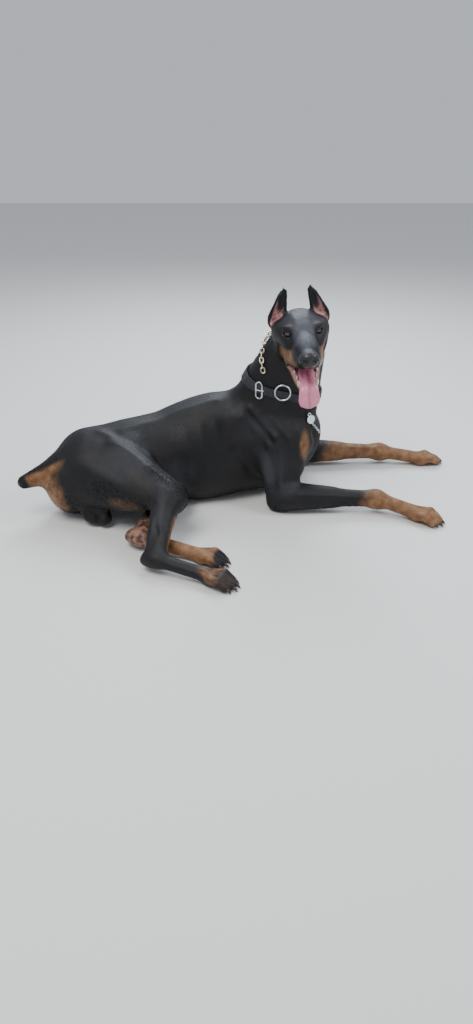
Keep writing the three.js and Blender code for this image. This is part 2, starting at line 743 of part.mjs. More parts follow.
// A leg: its own form below the cut, with the claws of its paw
function leg(name, form, low, high, beyond, claws, colour) {
  const limbSolid = flesh(form, low, high, 6, 1120).intersect(beyond);
  node(name, claws.reduce((whole, claw) => whole.add(claw), limbSolid), colour);
}
leg(
  "foreleg_right",
  foreFormRight,
  [60, -220, -12],
  [600, 0, 120],
  forearmRightCut(0, WIDE),
  clawsOf(foreToesRight, foreHeadingRight, FORE_REACH),
  colours.rust,
);
leg(
  "foreleg_left",
  foreFormLeft,
  [110, 150, -12],
  [680, 340, 120],
  forearmLeftCut(0, WIDE),
  clawsOf(foreToesLeft, foreHeadingLeft, FORE_REACH),
  colours.rust,
);
leg(
  "hind_leg_right",
  hindFormRight,
  [-300, -540, -12],
  [20, -180, 180],
  shankRightCut(0, WIDE),
  clawsOf(hindToesRight, hindHeadingRight, HIND_REACH),
  colours.coat,
);
leg(
  "hind_leg_left",
  hindFormLeft,
  [-330, -430, -12],
  [0, -60, 120],
  shankLeftCut(0, WIDE),
  clawsOf(hindToesLeft, hindHeadingLeft, HIND_REACH),
  colours.coat,
);

// A ribbon swept along points in the plane of y and z: an oval section with a groove along its top
function ribbon(path, halves, thicks, groove) {
  const AROUND = 12;
  const STEPS = 16;
  const line = new THREE.CatmullRomCurve3(path.map((p) => new THREE.Vector3(...p)));
  const valueAt = (list, t) => {
    const i = Math.min(list.length - 2, Math.floor(t * (list.length - 1)));
    return THREE.MathUtils.lerp(list[i], list[i + 1], t * (list.length - 1) - i);
  };
  const rings = [];
  for (let step = 0; step <= STEPS; step++) {
    const t = step / STEPS;
    const centre = line.getPoint(t);
    const along = line.getTangent(t);
    const up = new THREE.Vector3(1, 0, 0).cross(along).normalize();
    const ring = [];
    for (let k = 0; k < AROUND; k++) {
      const turn = (2 * Math.PI * k) / AROUND;
      const dip = Math.sin(turn) > 0.9 ? groove * Math.sin(Math.PI * t) : 0;
      const side = valueAt(halves, t) * Math.cos(turn);
      const rise = valueAt(thicks, t) * Math.sin(turn) - dip;
      ring.push(new THREE.Vector3(side, 0, 0).add(centre).addScaledVector(up, rise).toArray());
    }
    rings.push(ring);
  }
  const vertices = [...rings.flat(), path[0], path[path.length - 1]];
  const triangles = [];
  for (let step = 0; step < STEPS; step++) {
    for (let k = 0; k < AROUND; k++) {
      const a = step * AROUND + k;
      const b = step * AROUND + ((k + 1) % AROUND);
      triangles.push([a, a + AROUND, b], [b, a + AROUND, b + AROUND]);
    }
  }
  const last = STEPS * AROUND;
  for (let k = 0; k < AROUND; k++) {
    const next = (k + 1) % AROUND;
    triangles.push([vertices.length - 2, k, next], [vertices.length - 1, last + next, last + k]);
  }
  const solid = solidFrom({ vertices, triangles });
  if (solid.volume() > 0) return solid;
  return solidFrom({ vertices, triangles: triangles.map(([a, b, c]) => [a, c, b]) });
}

// A tooth is a cone from its root to its tip, in the head's frame or the jaw's.
function tooth(root, tip, radius, frame = new THREE.Matrix4()) {
  const start = new THREE.Vector3(...root);
  const end = new THREE.Vector3(...tip);
  const turn = new THREE.Quaternion().setFromUnitVectors(
    new THREE.Vector3(0, 1, 0),
    end.clone().sub(start).normalize(),
  );
  const middle = start.clone().add(end).multiplyScalar(0.5);
  const lie = new THREE.Matrix4().compose(middle, turn, new THREE.Vector3(1, 1, 1));
  return solidOf(new THREE.ConeGeometry(radius, end.distanceTo(start), 6), frame.clone().multiply(lie));
}

// Head: the jaw is parted through the open mouth and the ears at their roots, all in the head's frame.
const mouthDown = [0, -0.1, -0.995];
const jawCut = (gap) => block([0, 62, -88], mouthDown, 170, 180, 160, gap);
const earCuts = (gap) =>
  [1, -1].map((side) => block([side * 50, -82, 8], [side * 0.79, 0, 0.615], 140, 58, 140, gap));
const headWhole = flesh(headWithEars, [-100, -135, -160], [100, 140, 110], 3, 4600);
const sockets = [1, -1].map((side) =>
  solidOf(
    new THREE.SphereGeometry(EYE_RADIUS + CUT_GAP, 14, 10),
    new THREE.Matrix4().makeTranslation(side * eyeCentre[0], 0, 0),
  ),
);
const upperTeeth = [1, -1].flatMap((side) => [
  tooth([side * 16, 86, -42], [side * 17, 90, -68], 5),
  tooth([side * 21, 62, -44], [side * 22, 62, -60], 5),
  tooth([side * 24, 44, -46], [side * 25, 44, -63], 6),
  tooth([side * 5, 99, -42], [side * 5, 100, -58], 3.6),
]);
const lowerTeeth = [1, -1].flatMap((side) => [
  tooth([side * 21, 78, -56], [side * 25, 80, -29], 5.5, jawFrame),
  tooth([side * 23, 56, -58], [side * 24, 56, -42], 5, jawFrame),
  tooth([side * 27, 38, -58], [side * 28, 38, -40], 6, jawFrame),
  tooth([side * 30, 20, -58], [side * 31, 20, -42], 6, jawFrame),
]);
const join = (base, pieces) => pieces.reduce((whole, piece) => whole.add(piece), base);
const cutAway = (base, pieces) => pieces.reduce((whole, piece) => whole.subtract(piece), base);
const headBare = cutAway(headWhole, [jawCut(CUT_GAP), ...earCuts(CUT_GAP), ...sockets]);
const inWorld = (solid) => solid.transform(headFrame.elements);
node("head", inWorld(join(largest(headBare), upperTeeth)).intersect(headCut(0)), colours.coat);
const jaw = join(largest(cutAway(headWhole, earCuts(0)).intersect(jawCut(0))), lowerTeeth);
node("lower_jaw", inWorld(jaw).intersect(headCut(0)), colours.rust);

// Tongue: a ribbon with a groove, along the floor of the mouth, over the chin and down
const tonguePath = [
  [0, -14, -82],
  [0, 12, -91],
  [0, 36, -100],
  [0, 58, -107],
  [0, 76, -112],
  [1, 87, -122],
  [2, 91, -138],
  [2, 92, -150],
  [3, 91, -161],
  [3, 90, -169],
];
const tongueHalves = [16, 20, 21, 22, 24, 26, 28, 28, 22, 4]; // half widths at those points
const tongueThick = [5, 6, 6, 6, 5, 5, 5, 5, 4, 2]; // half thicknesses there
const tongue = ribbon(tonguePath, tongueHalves, tongueThick, 3);
const tongueFree = cutAway(tongue, [grown(jaw, CUT_GAP), grown(largest(headBare), CUT_GAP)]);
node("tongue", inWorld(largest(tongueFree)), colours.pink);
["right", "left"].forEach((name, i) => {
  const side = i ? -1 : 1;
  const earBox = [side * 15, side * 105].sort((a, b) => a - b);
  const ear = flesh(headWithEars, [earBox[0], -125, -50], [earBox[1], -40, 112], 2.2, 900);
  node(`ear_${name}`, inWorld(ear.intersect(earCuts(0)[i])), colours.coat);
  const place = new THREE.Matrix4().makeTranslation(side * eyeCentre[0], 0, 0);
  const ball = solidOf(new THREE.SphereGeometry(EYE_RADIUS, 14, 10), place);
  node(`eye_${name}`, inWorld(ball), colours.eye, 0.1);
});

// Collar: a broad strap about the neck, from a little above its seam
const SEAM_TO_COLLAR = 3;
const collarFace = add(seamOfNeck, mul(neckSide, SEAM_TO_COLLAR));
const band = block(collarFace, neckSide, 420, 420, COLLAR_WIDTH);
const strapWhole = grown(neck, CUT_GAP + COLLAR_THICKNESS).intersect(band);
node("collar", cutAway(strapWhole, [grown(neck, 2 * CUT_GAP), neck]), colours.strap, 0.7);

// The nearest place outside the body from a point inside it, along a direction, held off by the given height
function outside(point, direction, height) {
  const d = unit(direction);
  const inside = (reach) => trunkWithLegs(...add(point, mul(d, reach))) < 0;
  let reach = 0;
  for (const step of [16, 4, 1, 0.25]) {
    while (inside(reach + step)) reach += step;
  }
  return add(point, mul(d, reach + height));
}
const vector = (p) => new THREE.Vector3(...p);
// A link or ring: its hole looks along the direction facing, and it is drawn out along its length.
function ring(centre, facing, along, radius, wire, drawn = 1, sides = 12, around = 3) {
  const z = vector(unit(facing));
  const x = vector(along).addScaledVector(z, -vector(along).dot(z)).normalize();
  const lie = new THREE.Matrix4().makeBasis(x, z.clone().cross(x), z).setPosition(...centre);
  lie.scale(new THREE.Vector3(drawn, 1, 1));
  return solidOf(new THREE.TorusGeometry(radius, wire, around, sides), lie);
}

// Chain collar: links about the upper neck, from the strap's upper edge on one side to the other
const CHAIN_PITCH = 13;
const CHAIN_HEIGHT = 7.8; // from the skin to the middle of a link
const chainPlane = unit([0.672, -0.596, 0.439]);
const chainCentre = [92, 36, 380];
const chainA = unit(cross(chainPlane, [0, 0, 1]));
const chainB = cross(chainPlane, chainA);
const strapTop = add(collarFace, mul(neckSide, COLLAR_WIDTH));
const links = [];
for (let turn = 0, last = null; turn < 360; turn += 1) {
  const out = add(mul(chainA, Math.cos(rad(turn))), mul(chainB, Math.sin(rad(turn))));
  const place = outside(chainCentre, out, CHAIN_HEIGHT);
  const above = neckSide.reduce((sum, v, i) => sum + v * (place[i] - strapTop[i]), 0);
  if (above < 9 || (last && Math.hypot(...sub(place, last.place)) < CHAIN_PITCH)) continue;
  const stepped = last && Math.hypot(...sub(place, last.place)) < 2 * CHAIN_PITCH;
  if (stepped) links.push({ place, from: last.place, out });
  last = { place };
}
const chain = links.map(({ place, from, out }, i) => {
  const along = unit(sub(place, from));
  const tilt = i % 2 ? 1 : -1;
  const facing = add(out, mul(cross(along, out), tilt));
  return ring(mix(place, from, 0.5), facing, along, 5.2, 1.9, 1.5, 7);
});
node("chain_collar", join(chain[0], chain.slice(1)).subtract(grown(neck, CUT_GAP)), colours.metal, 0.3, 1);

// Ring and buckle on the near side of the strap, and the tag with its chain end on the chest
const onStrap = CUT_GAP + COLLAR_THICKNESS + 5;
const ringPlace = outside([93, 30, 328], [0, -1, 0.05], onStrap);
node("collar_ring", ring(ringPlace, [-0.08, -1, 0], [1, 0, 0], 21, 2.2, 1, 20), colours.metal, 0.25, 1);
const bucklePlace = outside([50, 40, 334], [-0.32, -0.94, 0], onStrap);
const buckle = ring(bucklePlace, [-0.42, -0.9, 0], [0, 0, 1], 11, 2.2, 2.1, 16);
node("collar_buckle", buckle, colours.metal, 0.3, 1);
const tagPlace = [174, -11.5, 248.5];
const tagFacing = unit([0.52, -0.84, 0.12]);
const tagTurn = new THREE.Quaternion().setFromUnitVectors(new THREE.Vector3(0, 1, 0), vector(tagFacing));
const disc = solidOf(
  new THREE.CylinderGeometry(12, 12, 2, 24),
  new THREE.Matrix4().compose(vector(tagPlace), tagTurn, new THREE.Vector3(1, 1, 1)),
);
const loop = ring(add(tagPlace, [-5, -2.5, 14.5]), tagFacing, [0, 0, 1], 4.6, 1.2);
node("tag", disc.add(loop), colours.tag, 0.3);
const endStart = [181, -2, 231];
const endFinish = [205.5, 40, 189.5];
const END_LINKS = 8;
const endAlong = sub(endFinish, endStart);
const endAcross = cross(endAlong, [1, 0, 0]);
const endLinks = Array.from({ length: END_LINKS }, (_, i) => {
  const place = mix(endStart, endFinish, i / (END_LINKS - 1));
  const facing = i % 2 ? endAcross : cross(endAlong, endAcross);
  return ring(place, facing, endAlong, 3, 1.2, 1.6, 7);
});
node("tag_chain", join(endLinks[0], endLinks.slice(1)), colours.metal, 0.3, 1);

// The origin is under the middle of the whole, on the floor.
const dog = new THREE.Group();
for (const mesh of nodes) dog.add(mesh);
const middle = new THREE.Box3().setFromObject(dog).getCenter(new THREE.Vector3());
for (const mesh of nodes) mesh.geometry.translate(-middle.x, -middle.y, 0);
export default dog;
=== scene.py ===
"""Looks of a life-size male Doberman pinscher that lies on its left hip and pants, with its collars and tag.

Lengths are metres in the row frame. Landmarks are written in millimetres in the pose frame of the
CAD source, whose origin is below the brisket, and are moved into the row frame by `at`.
"""

import logging
import math
from collections.abc import Callable
from dataclasses import dataclass
from enum import Enum

import bpy
import numpy as np
from mathutils import Euler, Matrix, Vector
from mathutils.bvhtree import BVHTree


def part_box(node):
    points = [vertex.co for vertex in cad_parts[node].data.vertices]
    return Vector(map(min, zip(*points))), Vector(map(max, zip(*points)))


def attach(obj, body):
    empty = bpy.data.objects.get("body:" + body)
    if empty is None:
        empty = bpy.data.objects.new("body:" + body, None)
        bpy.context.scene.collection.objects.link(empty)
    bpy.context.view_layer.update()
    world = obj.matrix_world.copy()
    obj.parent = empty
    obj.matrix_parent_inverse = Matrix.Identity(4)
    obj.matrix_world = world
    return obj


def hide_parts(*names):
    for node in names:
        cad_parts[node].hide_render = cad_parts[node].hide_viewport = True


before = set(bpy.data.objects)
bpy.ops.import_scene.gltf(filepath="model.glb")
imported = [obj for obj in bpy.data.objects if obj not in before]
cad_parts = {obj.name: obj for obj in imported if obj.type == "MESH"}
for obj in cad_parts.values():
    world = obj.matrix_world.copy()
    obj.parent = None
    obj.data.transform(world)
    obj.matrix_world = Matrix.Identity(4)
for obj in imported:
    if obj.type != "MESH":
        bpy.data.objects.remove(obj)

log = logging.getLogger("dog")
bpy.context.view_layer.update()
SEED = 7

MM = 0.001
BAKE_MAP = "OFBake"
EYES_CENTRE = Vector((134, -104, 517))
EYE_SPACING = 70
JAW_OPENING = 27
JAW_HINGE = Vector((0, -70, -46))
HEAD_TURN = (
    Matrix.Rotation(math.radians(183), 4, "Z")
    @ Matrix.Rotation(math.radians(-7), 4, "X")
    @ Matrix.Rotation(math.radians(6), 4, "Y")
)


def middle_of(node: str) -> Vector:
    """Returns the middle of a CAD node's box."""
    low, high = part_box(node)
    return (low + high) / 2


POSE_SHIFT = (middle_of("eye_right") + middle_of("eye_left")) / 2 - EYES_CENTRE * MM
POSE_SHIFT.z = 0
HEAD = Matrix.Translation(EYES_CENTRE * MM + POSE_SHIFT) @ HEAD_TURN @ Matrix.Scale(MM, 4)
JAW = (
    HEAD
    @ Matrix.Translation(JAW_HINGE)
    @ Matrix.Rotation(math.radians(-JAW_OPENING), 4, "X")
    @ Matrix.Translation(-JAW_HINGE)
)


class Zone(Enum):
    """The frame in which a landmark is given."""

    BODY = "body"
    HEAD = "head"
    JAW = "jaw"


def at(point: tuple[float, float, float], zone: Zone = Zone.BODY) -> Vector:
    """Turns a landmark in millimetres into a point of the row frame.

    Args:
        point: the landmark.
        zone: the frame it is given in.

    Returns:
        The point in metres.
    """
    if zone is Zone.HEAD:
        return HEAD @ Vector(point)
    if zone is Zone.JAW:
        return JAW @ Vector(point)
    return Vector(point) * MM + POSE_SHIFT


# Landmarks of the pose, as in the CAD source. The strap's edges are measured from the neck's seam.
KNEE_RIGHT, HOCK_RIGHT, HIND_RIGHT = (-208, -236, 124), (-222, -396, 38), (-88, -452, 20)
KNEE_LEFT, HOCK_LEFT, HIND_LEFT = (-212, -112, 52), (-276, -284, 34), (-112, -352, 19)
ELBOW_RIGHT, WRIST_RIGHT, FORE_RIGHT = (104, -74, 46), (356, -80, 40), (470, -132, 20)
ELBOW_LEFT, WRIST_LEFT, FORE_LEFT = (146, 244, 45), (418, 254, 38), (550, 240, 20)
TAIL_ROOT, TAIL_TIP = (-496, -100, 150), (-600, -128, 114)
NECK_BASE, NECK_TOP = (48, 62, 262), (130, 20, 462)
COLLAR_SIDE = Vector((0.2, -0.2, 0.96)).normalized()
COLLAR_SEAM = (74, 55, 310.5)
STRAP_START, STRAP_END = 3, 61
STRAP_MIDDLE = (STRAP_START + STRAP_END) / 2 * MM
EAR_ROOT_SPREAD, EAR_TIP_SPREAD = 57, 31
SKIN_TRIANGLES = 192000
TUFT_PATCH = 0.003
PAWS = (
    (FORE_RIGHT, (0.84, -0.5), 62),
    (FORE_LEFT, (0.97, 0.24), 62),
    (HIND_RIGHT, (0.9, -0.42), 60),
    (HIND_LEFT, (0.94, -0.34), 60),
)
TOE_FAN = (-1.5, -0.52, 0.52, 1.5)
FLESH = (
    "torso",
    "neck",
    "tail",
    "foreleg_right",
    "foreleg_left",
    "hind_leg_right",
    "hind_leg_left",
    "head",
    "lower_jaw",
    "ear_right",
    "ear_left",
)


class Value:
    """A socket whose sums are written as Python and become nodes."""

    def __init__(self, shader: "Shader", socket: bpy.types.NodeSocket) -> None:
        """Keeps the shader and the socket."""
        self.shader = shader
        self.socket = socket

    def __add__(self, other: "Value | float") -> "Value":
        """Adds."""
        return self.shader.maths("ADD", self, other)

    def __radd__(self, other: float) -> "Value":
        """Adds to a number."""
        return self.shader.maths("ADD", other, self)

    def __sub__(self, other: "Value | float") -> "Value":
        """Subtracts."""
        return self.shader.maths("SUBTRACT", self, other)

    def __rsub__(self, other: float) -> "Value":
        """Subtracts from a number."""
        return self.shader.maths("SUBTRACT", other, self)

    def __mul__(self, other: "Value | float") -> "Value":
        """Multiplies."""
        return self.shader.maths("MULTIPLY", self, other)

    def __rmul__(self, other: float) -> "Value":
        """Multiplies a number."""
        return self.shader.maths("MULTIPLY", other, self)

    def __truediv__(self, other: "Value | float") -> "Value":
        """Divides."""
        return self.shader.maths("DIVIDE", self, other)

    def power(self, other: float) -> "Value":
        """Raises to a power."""
        return self.shader.maths("POWER", self, other)

    def ramp(self, low: float, high: float) -> "Value":
        """Goes smoothly from 0 where the value is low to 1 where it is high; low may be the larger."""
        if low > high:
            return 1 - self.ramp(high, low)
        settings = {"interpolation_type": "SMOOTHSTEP"}
        return self.shader.node("ShaderNodeMapRange", settings, {"Value": self, 1: low, 2: high})

    def least(self, other: "Value | float") -> "Value":
        """Takes the smaller."""
        return self.shader.maths("MINIMUM", self, other)

    def most(self, other: "Value | float") -> "Value":
        """Takes the larger."""
        return self.shader.maths("MAXIMUM", self, other)


class Shader:
    """A material's node tree, with the row frame's place as its coordinate."""

    def __init__(self, name: str) -> None:
        """Starts a material of that name."""
        self.material = bpy.data.materials.new(name)
        self.material.use_nodes = True
        self.nodes = self.material.node_tree.nodes
        self.links = self.material.node_tree.links
        self.surface = self.nodes["Principled BSDF"]
        self.place = self.node("ShaderNodeTexCoord", {}, {}, "Object")

    def node(self, kind: str, settings: dict, inputs: dict, out: "int | str" = 0) -> Value:
        """Adds a node.

        Args:
            kind: the node's type.
            settings: its own settings; stops holds a colour ramp's places and colours.
            inputs: values or links by socket name or number.
            out: the output to return.

        Returns:
            That output.
        """
        made = self.nodes.new(kind)
        for key, value in settings.items():
            if key == "stops":
                while len(made.color_ramp.elements) < len(value):
                    made.color_ramp.elements.new(0.5)
                for element, (place, colour) in zip(made.color_ramp.elements, value):
                    element.position = place
                    element.color = (*colour, 1)
            else:
                setattr(made, key, value)
        for key, value in inputs.items():
            self.feed(made.inputs[key], value)
        return Value(self, made.outputs[out])

    def feed(self, socket: bpy.types.NodeSocket, value: "Value | float | tuple") -> None:
        """Links a value to a socket or sets its number, colour or vector."""
        if isinstance(value, Value):
            self.links.new(value.socket, socket)
        elif isinstance(value, (tuple, Vector)):
            size = len(socket.default_value)
            socket.default_value = (*value, 1)[:size] if size > len(value) else tuple(value)
        else:
            socket.default_value = value

    def maths(self, operation: str, *values: "Value | float") -> Value:
        """Adds a Math node."""
        return self.node("ShaderNodeMath", {"operation": operation}, dict(enumerate(values)))

    def along(self, direction: Vector, origin: Vector) -> Value:
        """Returns how far the place lies from the origin along a direction, in metres."""
        dot = self.node(
            "ShaderNodeVectorMath",
            {"operation": "DOT_PRODUCT"},
            {0: self.place, 1: tuple(direction)},
            "Value",
        )
        return dot - direction.dot(origin)

    def ball(self, centre: Vector, radii: tuple, turn: Matrix | None = None) -> Value:
        """Returns the distance from an ellipsoid's centre, as a share of its radii.

        Args:
            centre: its centre.
            radii: three radii in millimetres.
            turn: a matrix whose columns are its axes.

        Returns:
            1 on the ellipsoid, less inside.
        """
        axes = (turn or Matrix.Identity(4)).to_3x3().transposed()
        total: Value | None = None
        for axis, radius in zip(axes, radii):
            part = self.along(axis.normalized() / (radius * MM), centre).power(2)
            total = part if total is None else total + part
        return self.maths("SQRT", total)

    def bar(self, start: Vector, end: Vector) -> tuple[Value, Value]:
        """Returns the distance from a line segment, and the share of the way along it."""
        span = end - start
        share = self.along(span / span.length_squared, start)
        clamped = share.most(0.0).least(1.0)
        spread = self.node("ShaderNodeCombineXYZ", {}, {0: clamped, 1: clamped, 2: clamped})
        nearest = self.node(
            "ShaderNodeVectorMath",
            {"operation": "MULTIPLY_ADD"},
            {0: tuple(span), 1: spread, 2: tuple(start)},
        )
        return self.apart(nearest), share

    def apart(self, spot: "Value | tuple") -> Value:
        """Returns the distance of the place from a spot."""
        return self.node("ShaderNodeVectorMath", {"operation": "DISTANCE"}, {0: self.place, 1: spot}, "Value")

    def noise(self, scale: float, detail: float = 3, stretch: tuple = (1, 1, 1)) -> Value:
        """Returns noise from 0 to 1 about 0.5."""
        place = self.place
        if stretch != (1, 1, 1):
            place = self.node("ShaderNodeMapping", {}, {"Vector": self.place, "Scale": stretch})
        return self.node("ShaderNodeTexNoise", {}, {"Vector": place, "Scale": scale, "Detail": detail}, "Fac")

    def blend(self, factor: Value, first: "Value | tuple", second: "Value | tuple") -> Value:
        """Mixes two colours."""
        made = self.nodes.new("ShaderNodeMix")
        made.data_type = "RGBA"
        self.feed(made.inputs[0], factor)
        self.feed(made.inputs[6], first)
        self.feed(made.inputs[7], second)
        return Value(self, made.outputs[2])

    def bump(
        self, height: Value, distance: float, strength: float = 1.0, under: Value | None = None
    ) -> Value:
        """Returns a normal from a height, in metres of distance."""
        inputs = {"Height": height, "Distance": distance, "Strength": strength}
        if under is not None:
            inputs["Normal"] = under
        return self.node("ShaderNodeBump", {}, inputs, "Normal")

    def finish(self, **inputs: "Value | float | tuple") -> bpy.types.Material:
        """Feeds the surface's sockets, named with underscores for spaces."""
        for name, value in inputs.items():
            self.feed(self.surface.inputs[name.replace("_", " ")], value)
        return self.material


def head_axis(index: int) -> Vector:
    """Returns one axis of the head frame as a unit direction."""
    return HEAD_TURN.to_3x3().col[index].normalized()


@dataclass(frozen=True)
class HairFinish:
    """Short glossy hair: black, with rust markings, and the bare skin of nose, lips, lids and mouth."""

    black: tuple = (0.0042, 0.0042, 0.0055)
    brown_black: tuple = (0.0085, 0.0074, 0.007)
    # Painted sheen: the bluish highlight and reflection that lighten the black coat.
    painted_sheen: tuple = (0.058, 0.063, 0.077)
    rust: tuple = (0.155, 0.066, 0.025)
    pale_rust: tuple = (0.28, 0.148, 0.066)
    rust_shade: tuple = (0.03, 0.014, 0.008)
    seat_tan: tuple = (0.44, 0.27, 0.15)
    seat_brown: tuple = (0.26, 0.14, 0.07)
    thin_tan: tuple = (0.3, 0.165, 0.115)
    thin_brown: tuple = (0.045, 0.028, 0.022)
    bare: tuple = (0.0055, 0.005, 0.0055)
    pink: tuple = (0.4, 0.185, 0.18)
    pink_brown: tuple = (0.13, 0.055, 0.045)
    lip: tuple = (0.34, 0.17, 0.165)
    # Painted shade: near-black for the deepest recesses.
    painted_hollow_shade: tuple = (0.0012, 0.0008, 0.0008)

    def material(self, name: str, hair: bool) -> bpy.types.Material:
        """Builds the material.

        Args:
            name: its name.
            hair: whether it dresses the tufts, which need no hair bump.

        Returns:
            The material.
        """
        s = Shader(name)
        wander = (s.noise(34, 5) - 0.5) * 0.8
        fine = s.noise(420, 3)
        broad = s.noise(16, 3)
        strands = s.noise(700, 2, (0.3, 1, 1)) * 0.5 + s.noise(620, 2, (1, 1, 0.35)) * 0.5
        black = s.blend(broad.ramp(0.45, 0.75), self.black, self.brown_black)
        # Painted highlight and reflection: the black is lightened to bluish where the painted sheen mask
        # reaches.
        black = s.blend(self.painted_sheen_mask(s) * (0.55 + 0.7 * strands), black, self.painted_sheen)
        tone = s.blend(s.noise(48, 5).ramp(0.3, 0.75), self.rust, self.pale_rust)
        tone = s.blend((strands - 0.42).ramp(0.0, 0.3) * 0.55, tone, self.rust_shade)
        rust = self.rust_mask(s, wander)
        colour = s.blend(rust * (0.8 + 0.4 * fine).least(1.0), black, tone)
        seat = (s.ball(at((-512, -134, 82)), (26, 38, 40)) + wander * 0.6).ramp(1.2, 0.6)
        colour = s.blend(seat * rust * 0.75, colour, s.blend(strands, self.seat_tan, self.seat_brown))
        thin = s.blend(s.noise(64, 5).ramp(0.4, 0.62), self.thin_tan, self.thin_brown)
        colour = s.blend(self.pale_mask(s, wander), colour, thin)
        lip = self.lip_mask(s, wander)
        colour = s.blend(lip, colour, self.lip)
        pink = self.pink_mask(s)
        mottled = s.blend(s.noise(120, 5).ramp(0.42, 0.66), self.pink, self.pink_brown)
        colour = s.blend(pink, colour, mottled)
        bare = self.bare_mask(s)
        colour = s.blend(bare, colour, self.bare)
        # Painted shade: the nostrils, the back of the mouth and the pit below the tail go near-black.
        colour = s.blend(self.painted_hollow_shade_mask(s), colour, self.painted_hollow_shade)
        rough = (0.47 + 0.16 * fine - 0.2 * bare - 0.2 * pink - 0.15 * lip).least(0.8)
        if hair:
            return s.finish(Base_Color=colour, Roughness=rough, Specular_IOR_Level=0.3)
        skin_bump = s.bump(strands, 0.0011, 0.6, s.bump(s.noise(110, 4), 0.002, 0.25))
        leather = s.node("ShaderNodeTexVoronoi", {}, {"Vector": s.place, "Scale": 520}, "Distance")
        normal = s.bump(leather * bare, 0.0011, 0.9, skin_bump)
        return s.finish(
            Base_Color=colour,
            Roughness=rough,
            Normal=normal,
            Coat_Weight=0.45 * bare + 0.4 * pink + 0.3 * lip,
            Coat_Roughness=0.2,
            Specular_IOR_Level=0.32,
        )

    def rust_mask(self, s: Shader, wander: Value) -> Value:
        """Returns where the coat is rust, from 0 to 1."""
        parts: list[Value] = []
        for start, rise, side in ((322, 46, -1), (244, 52, 1)):
            reach = s.along(Vector((1, 0, -0.55)), at((start, 0, rise))) / 0.05
            own = s.along(Vector((0, side, 0)), at((0, 40, 0))).ramp(-0.01, 0.01)
            parts.append((reach + wander * 0.8).ramp(-0.45, 0.55) * own)
        for centre, radii, edge, weight in (
            ((157, -42, 186), (15, 36, 46), 0.4, 0.85),
            ((158, 168, 176), (22, 40, 44), 0.45, 0.85),
            ((-503, -134, 92), (36, 50, 58), 0.8, 0.85),
            ((-330, -236, 96), (70, 26, 22), 0.5, 0.3),
        ):
            parts.append((s.ball(at(centre), radii) + wander * 0.6).ramp(1.25, edge) * weight)
        tail, share = s.bar(at(TAIL_ROOT), at(TAIL_TIP))
        under = s.along(Vector((0.25, -0.75, -0.62)).normalized(), at(TAIL_ROOT))
        tail = (tail + wander * 0.01).ramp(0.06, 0.045)
        parts.append(tail * under.ramp(0.004, 0.02) * share.ramp(0.97, 0.86))
        near, share = s.bar(at(HOCK_RIGHT), at(HIND_RIGHT))
        top = s.along(Vector((0.3, -0.3, 0.9)).normalized(), at((-88, -452, 22)))
        toe = s.ball(at((-44, -474, 14)), (34, 36, 24)) + wander * 0.5
        patch = near.ramp(0.07, 0.05) * (share + wander * 0.5).ramp(0.66, 0.92) * top.ramp(-0.006, 0.008)
        mottled = 0.35 + 0.65 * s.noise(60, 4).ramp(0.35, 0.6)
        parts.append(patch * mottled * toe.ramp(0.95, 1.6).most(0.15) * 0.85)
        near, share = s.bar(at(HOCK_LEFT), at(HIND_LEFT))
        toe = s.ball(at((-72, -366, 14)), (30, 34, 22))
        parts.append(near.ramp(0.065, 0.045) * (share + wander * 0.4).ramp(-0.3, 0.1) * toe.ramp(0.8, 1.3))
        shank, _ = s.bar(at((-190, -300, 84)), at((-190, -384, 36)))
        parts.append((shank + wander * 0.006).ramp(0.024, 0.008) * 0.8)
        for side in (1, -1):
            for centre, radii in (
                ((36, 34, -50), (22, 50, 19)),
                ((47, -14, -60), (16, 40, 26)),
                ((38, -8, -86), (22, 30, 16)),
                ((23, 76, -46), (10, 24, 12)),
            ):
                cheek = s.ball(at((side * centre[0], *centre[1:]), Zone.HEAD), radii, HEAD_TURN)
                parts.append((cheek + wander * 0.5).ramp(1.2, 0.65) * 0.9)
            spot = s.ball(at((side * 27, 8, 15), Zone.HEAD), (8, 9, 5), HEAD_TURN)
            parts.append((spot + wander * 0.4).ramp(1.2, 0.5) * 0.4)
        jaw = s.ball(at((0, 20, -70), Zone.JAW), (46, 92, 22), JAW)
        parts.append((jaw + wander * 0.4).ramp(1.2, 0.85) * 0.9)
        total = parts[0]
        for part in parts[1:]:
            total = total.most(part)
        return total

    def pale_mask(self, s: Shader, wander: Value) -> Value:
        """Returns where the hair is thin and pinkish tan: the left hock and the inner right shank."""
        hock = (s.ball(at((-276, -278, 42)), (46, 50, 46)) + wander * 0.5).ramp(1.2, 0.75)
        groin = (s.ball(at((-300, -190, 58)), (44, 60, 26)) + wander * 0.5).ramp(1.2, 0.7)
        return hock * 0.85 + groin * 0.4 * (1 - hock)

    def painted_sheen_mask(self, s: Shader) -> Value:
        """Returns where a painted bluish sheen, a highlight and reflection, lightens the black: forehead,
        muzzle top, shoulder, upper arm and flank.
        """
        vary = (s.noise(44, 4) - 0.5) * 0.6
        face = (s.ball(at((0, 26, 8), Zone.HEAD), (30, 92, 30), HEAD_TURN) + vary).ramp(1.3, 0.55)
        brow = (s.ball(at((0, -34, 22), Zone.HEAD), (58, 44, 18), HEAD_TURN) + vary).ramp(1.3, 0.5) * 0.55
        total = face.most(brow)
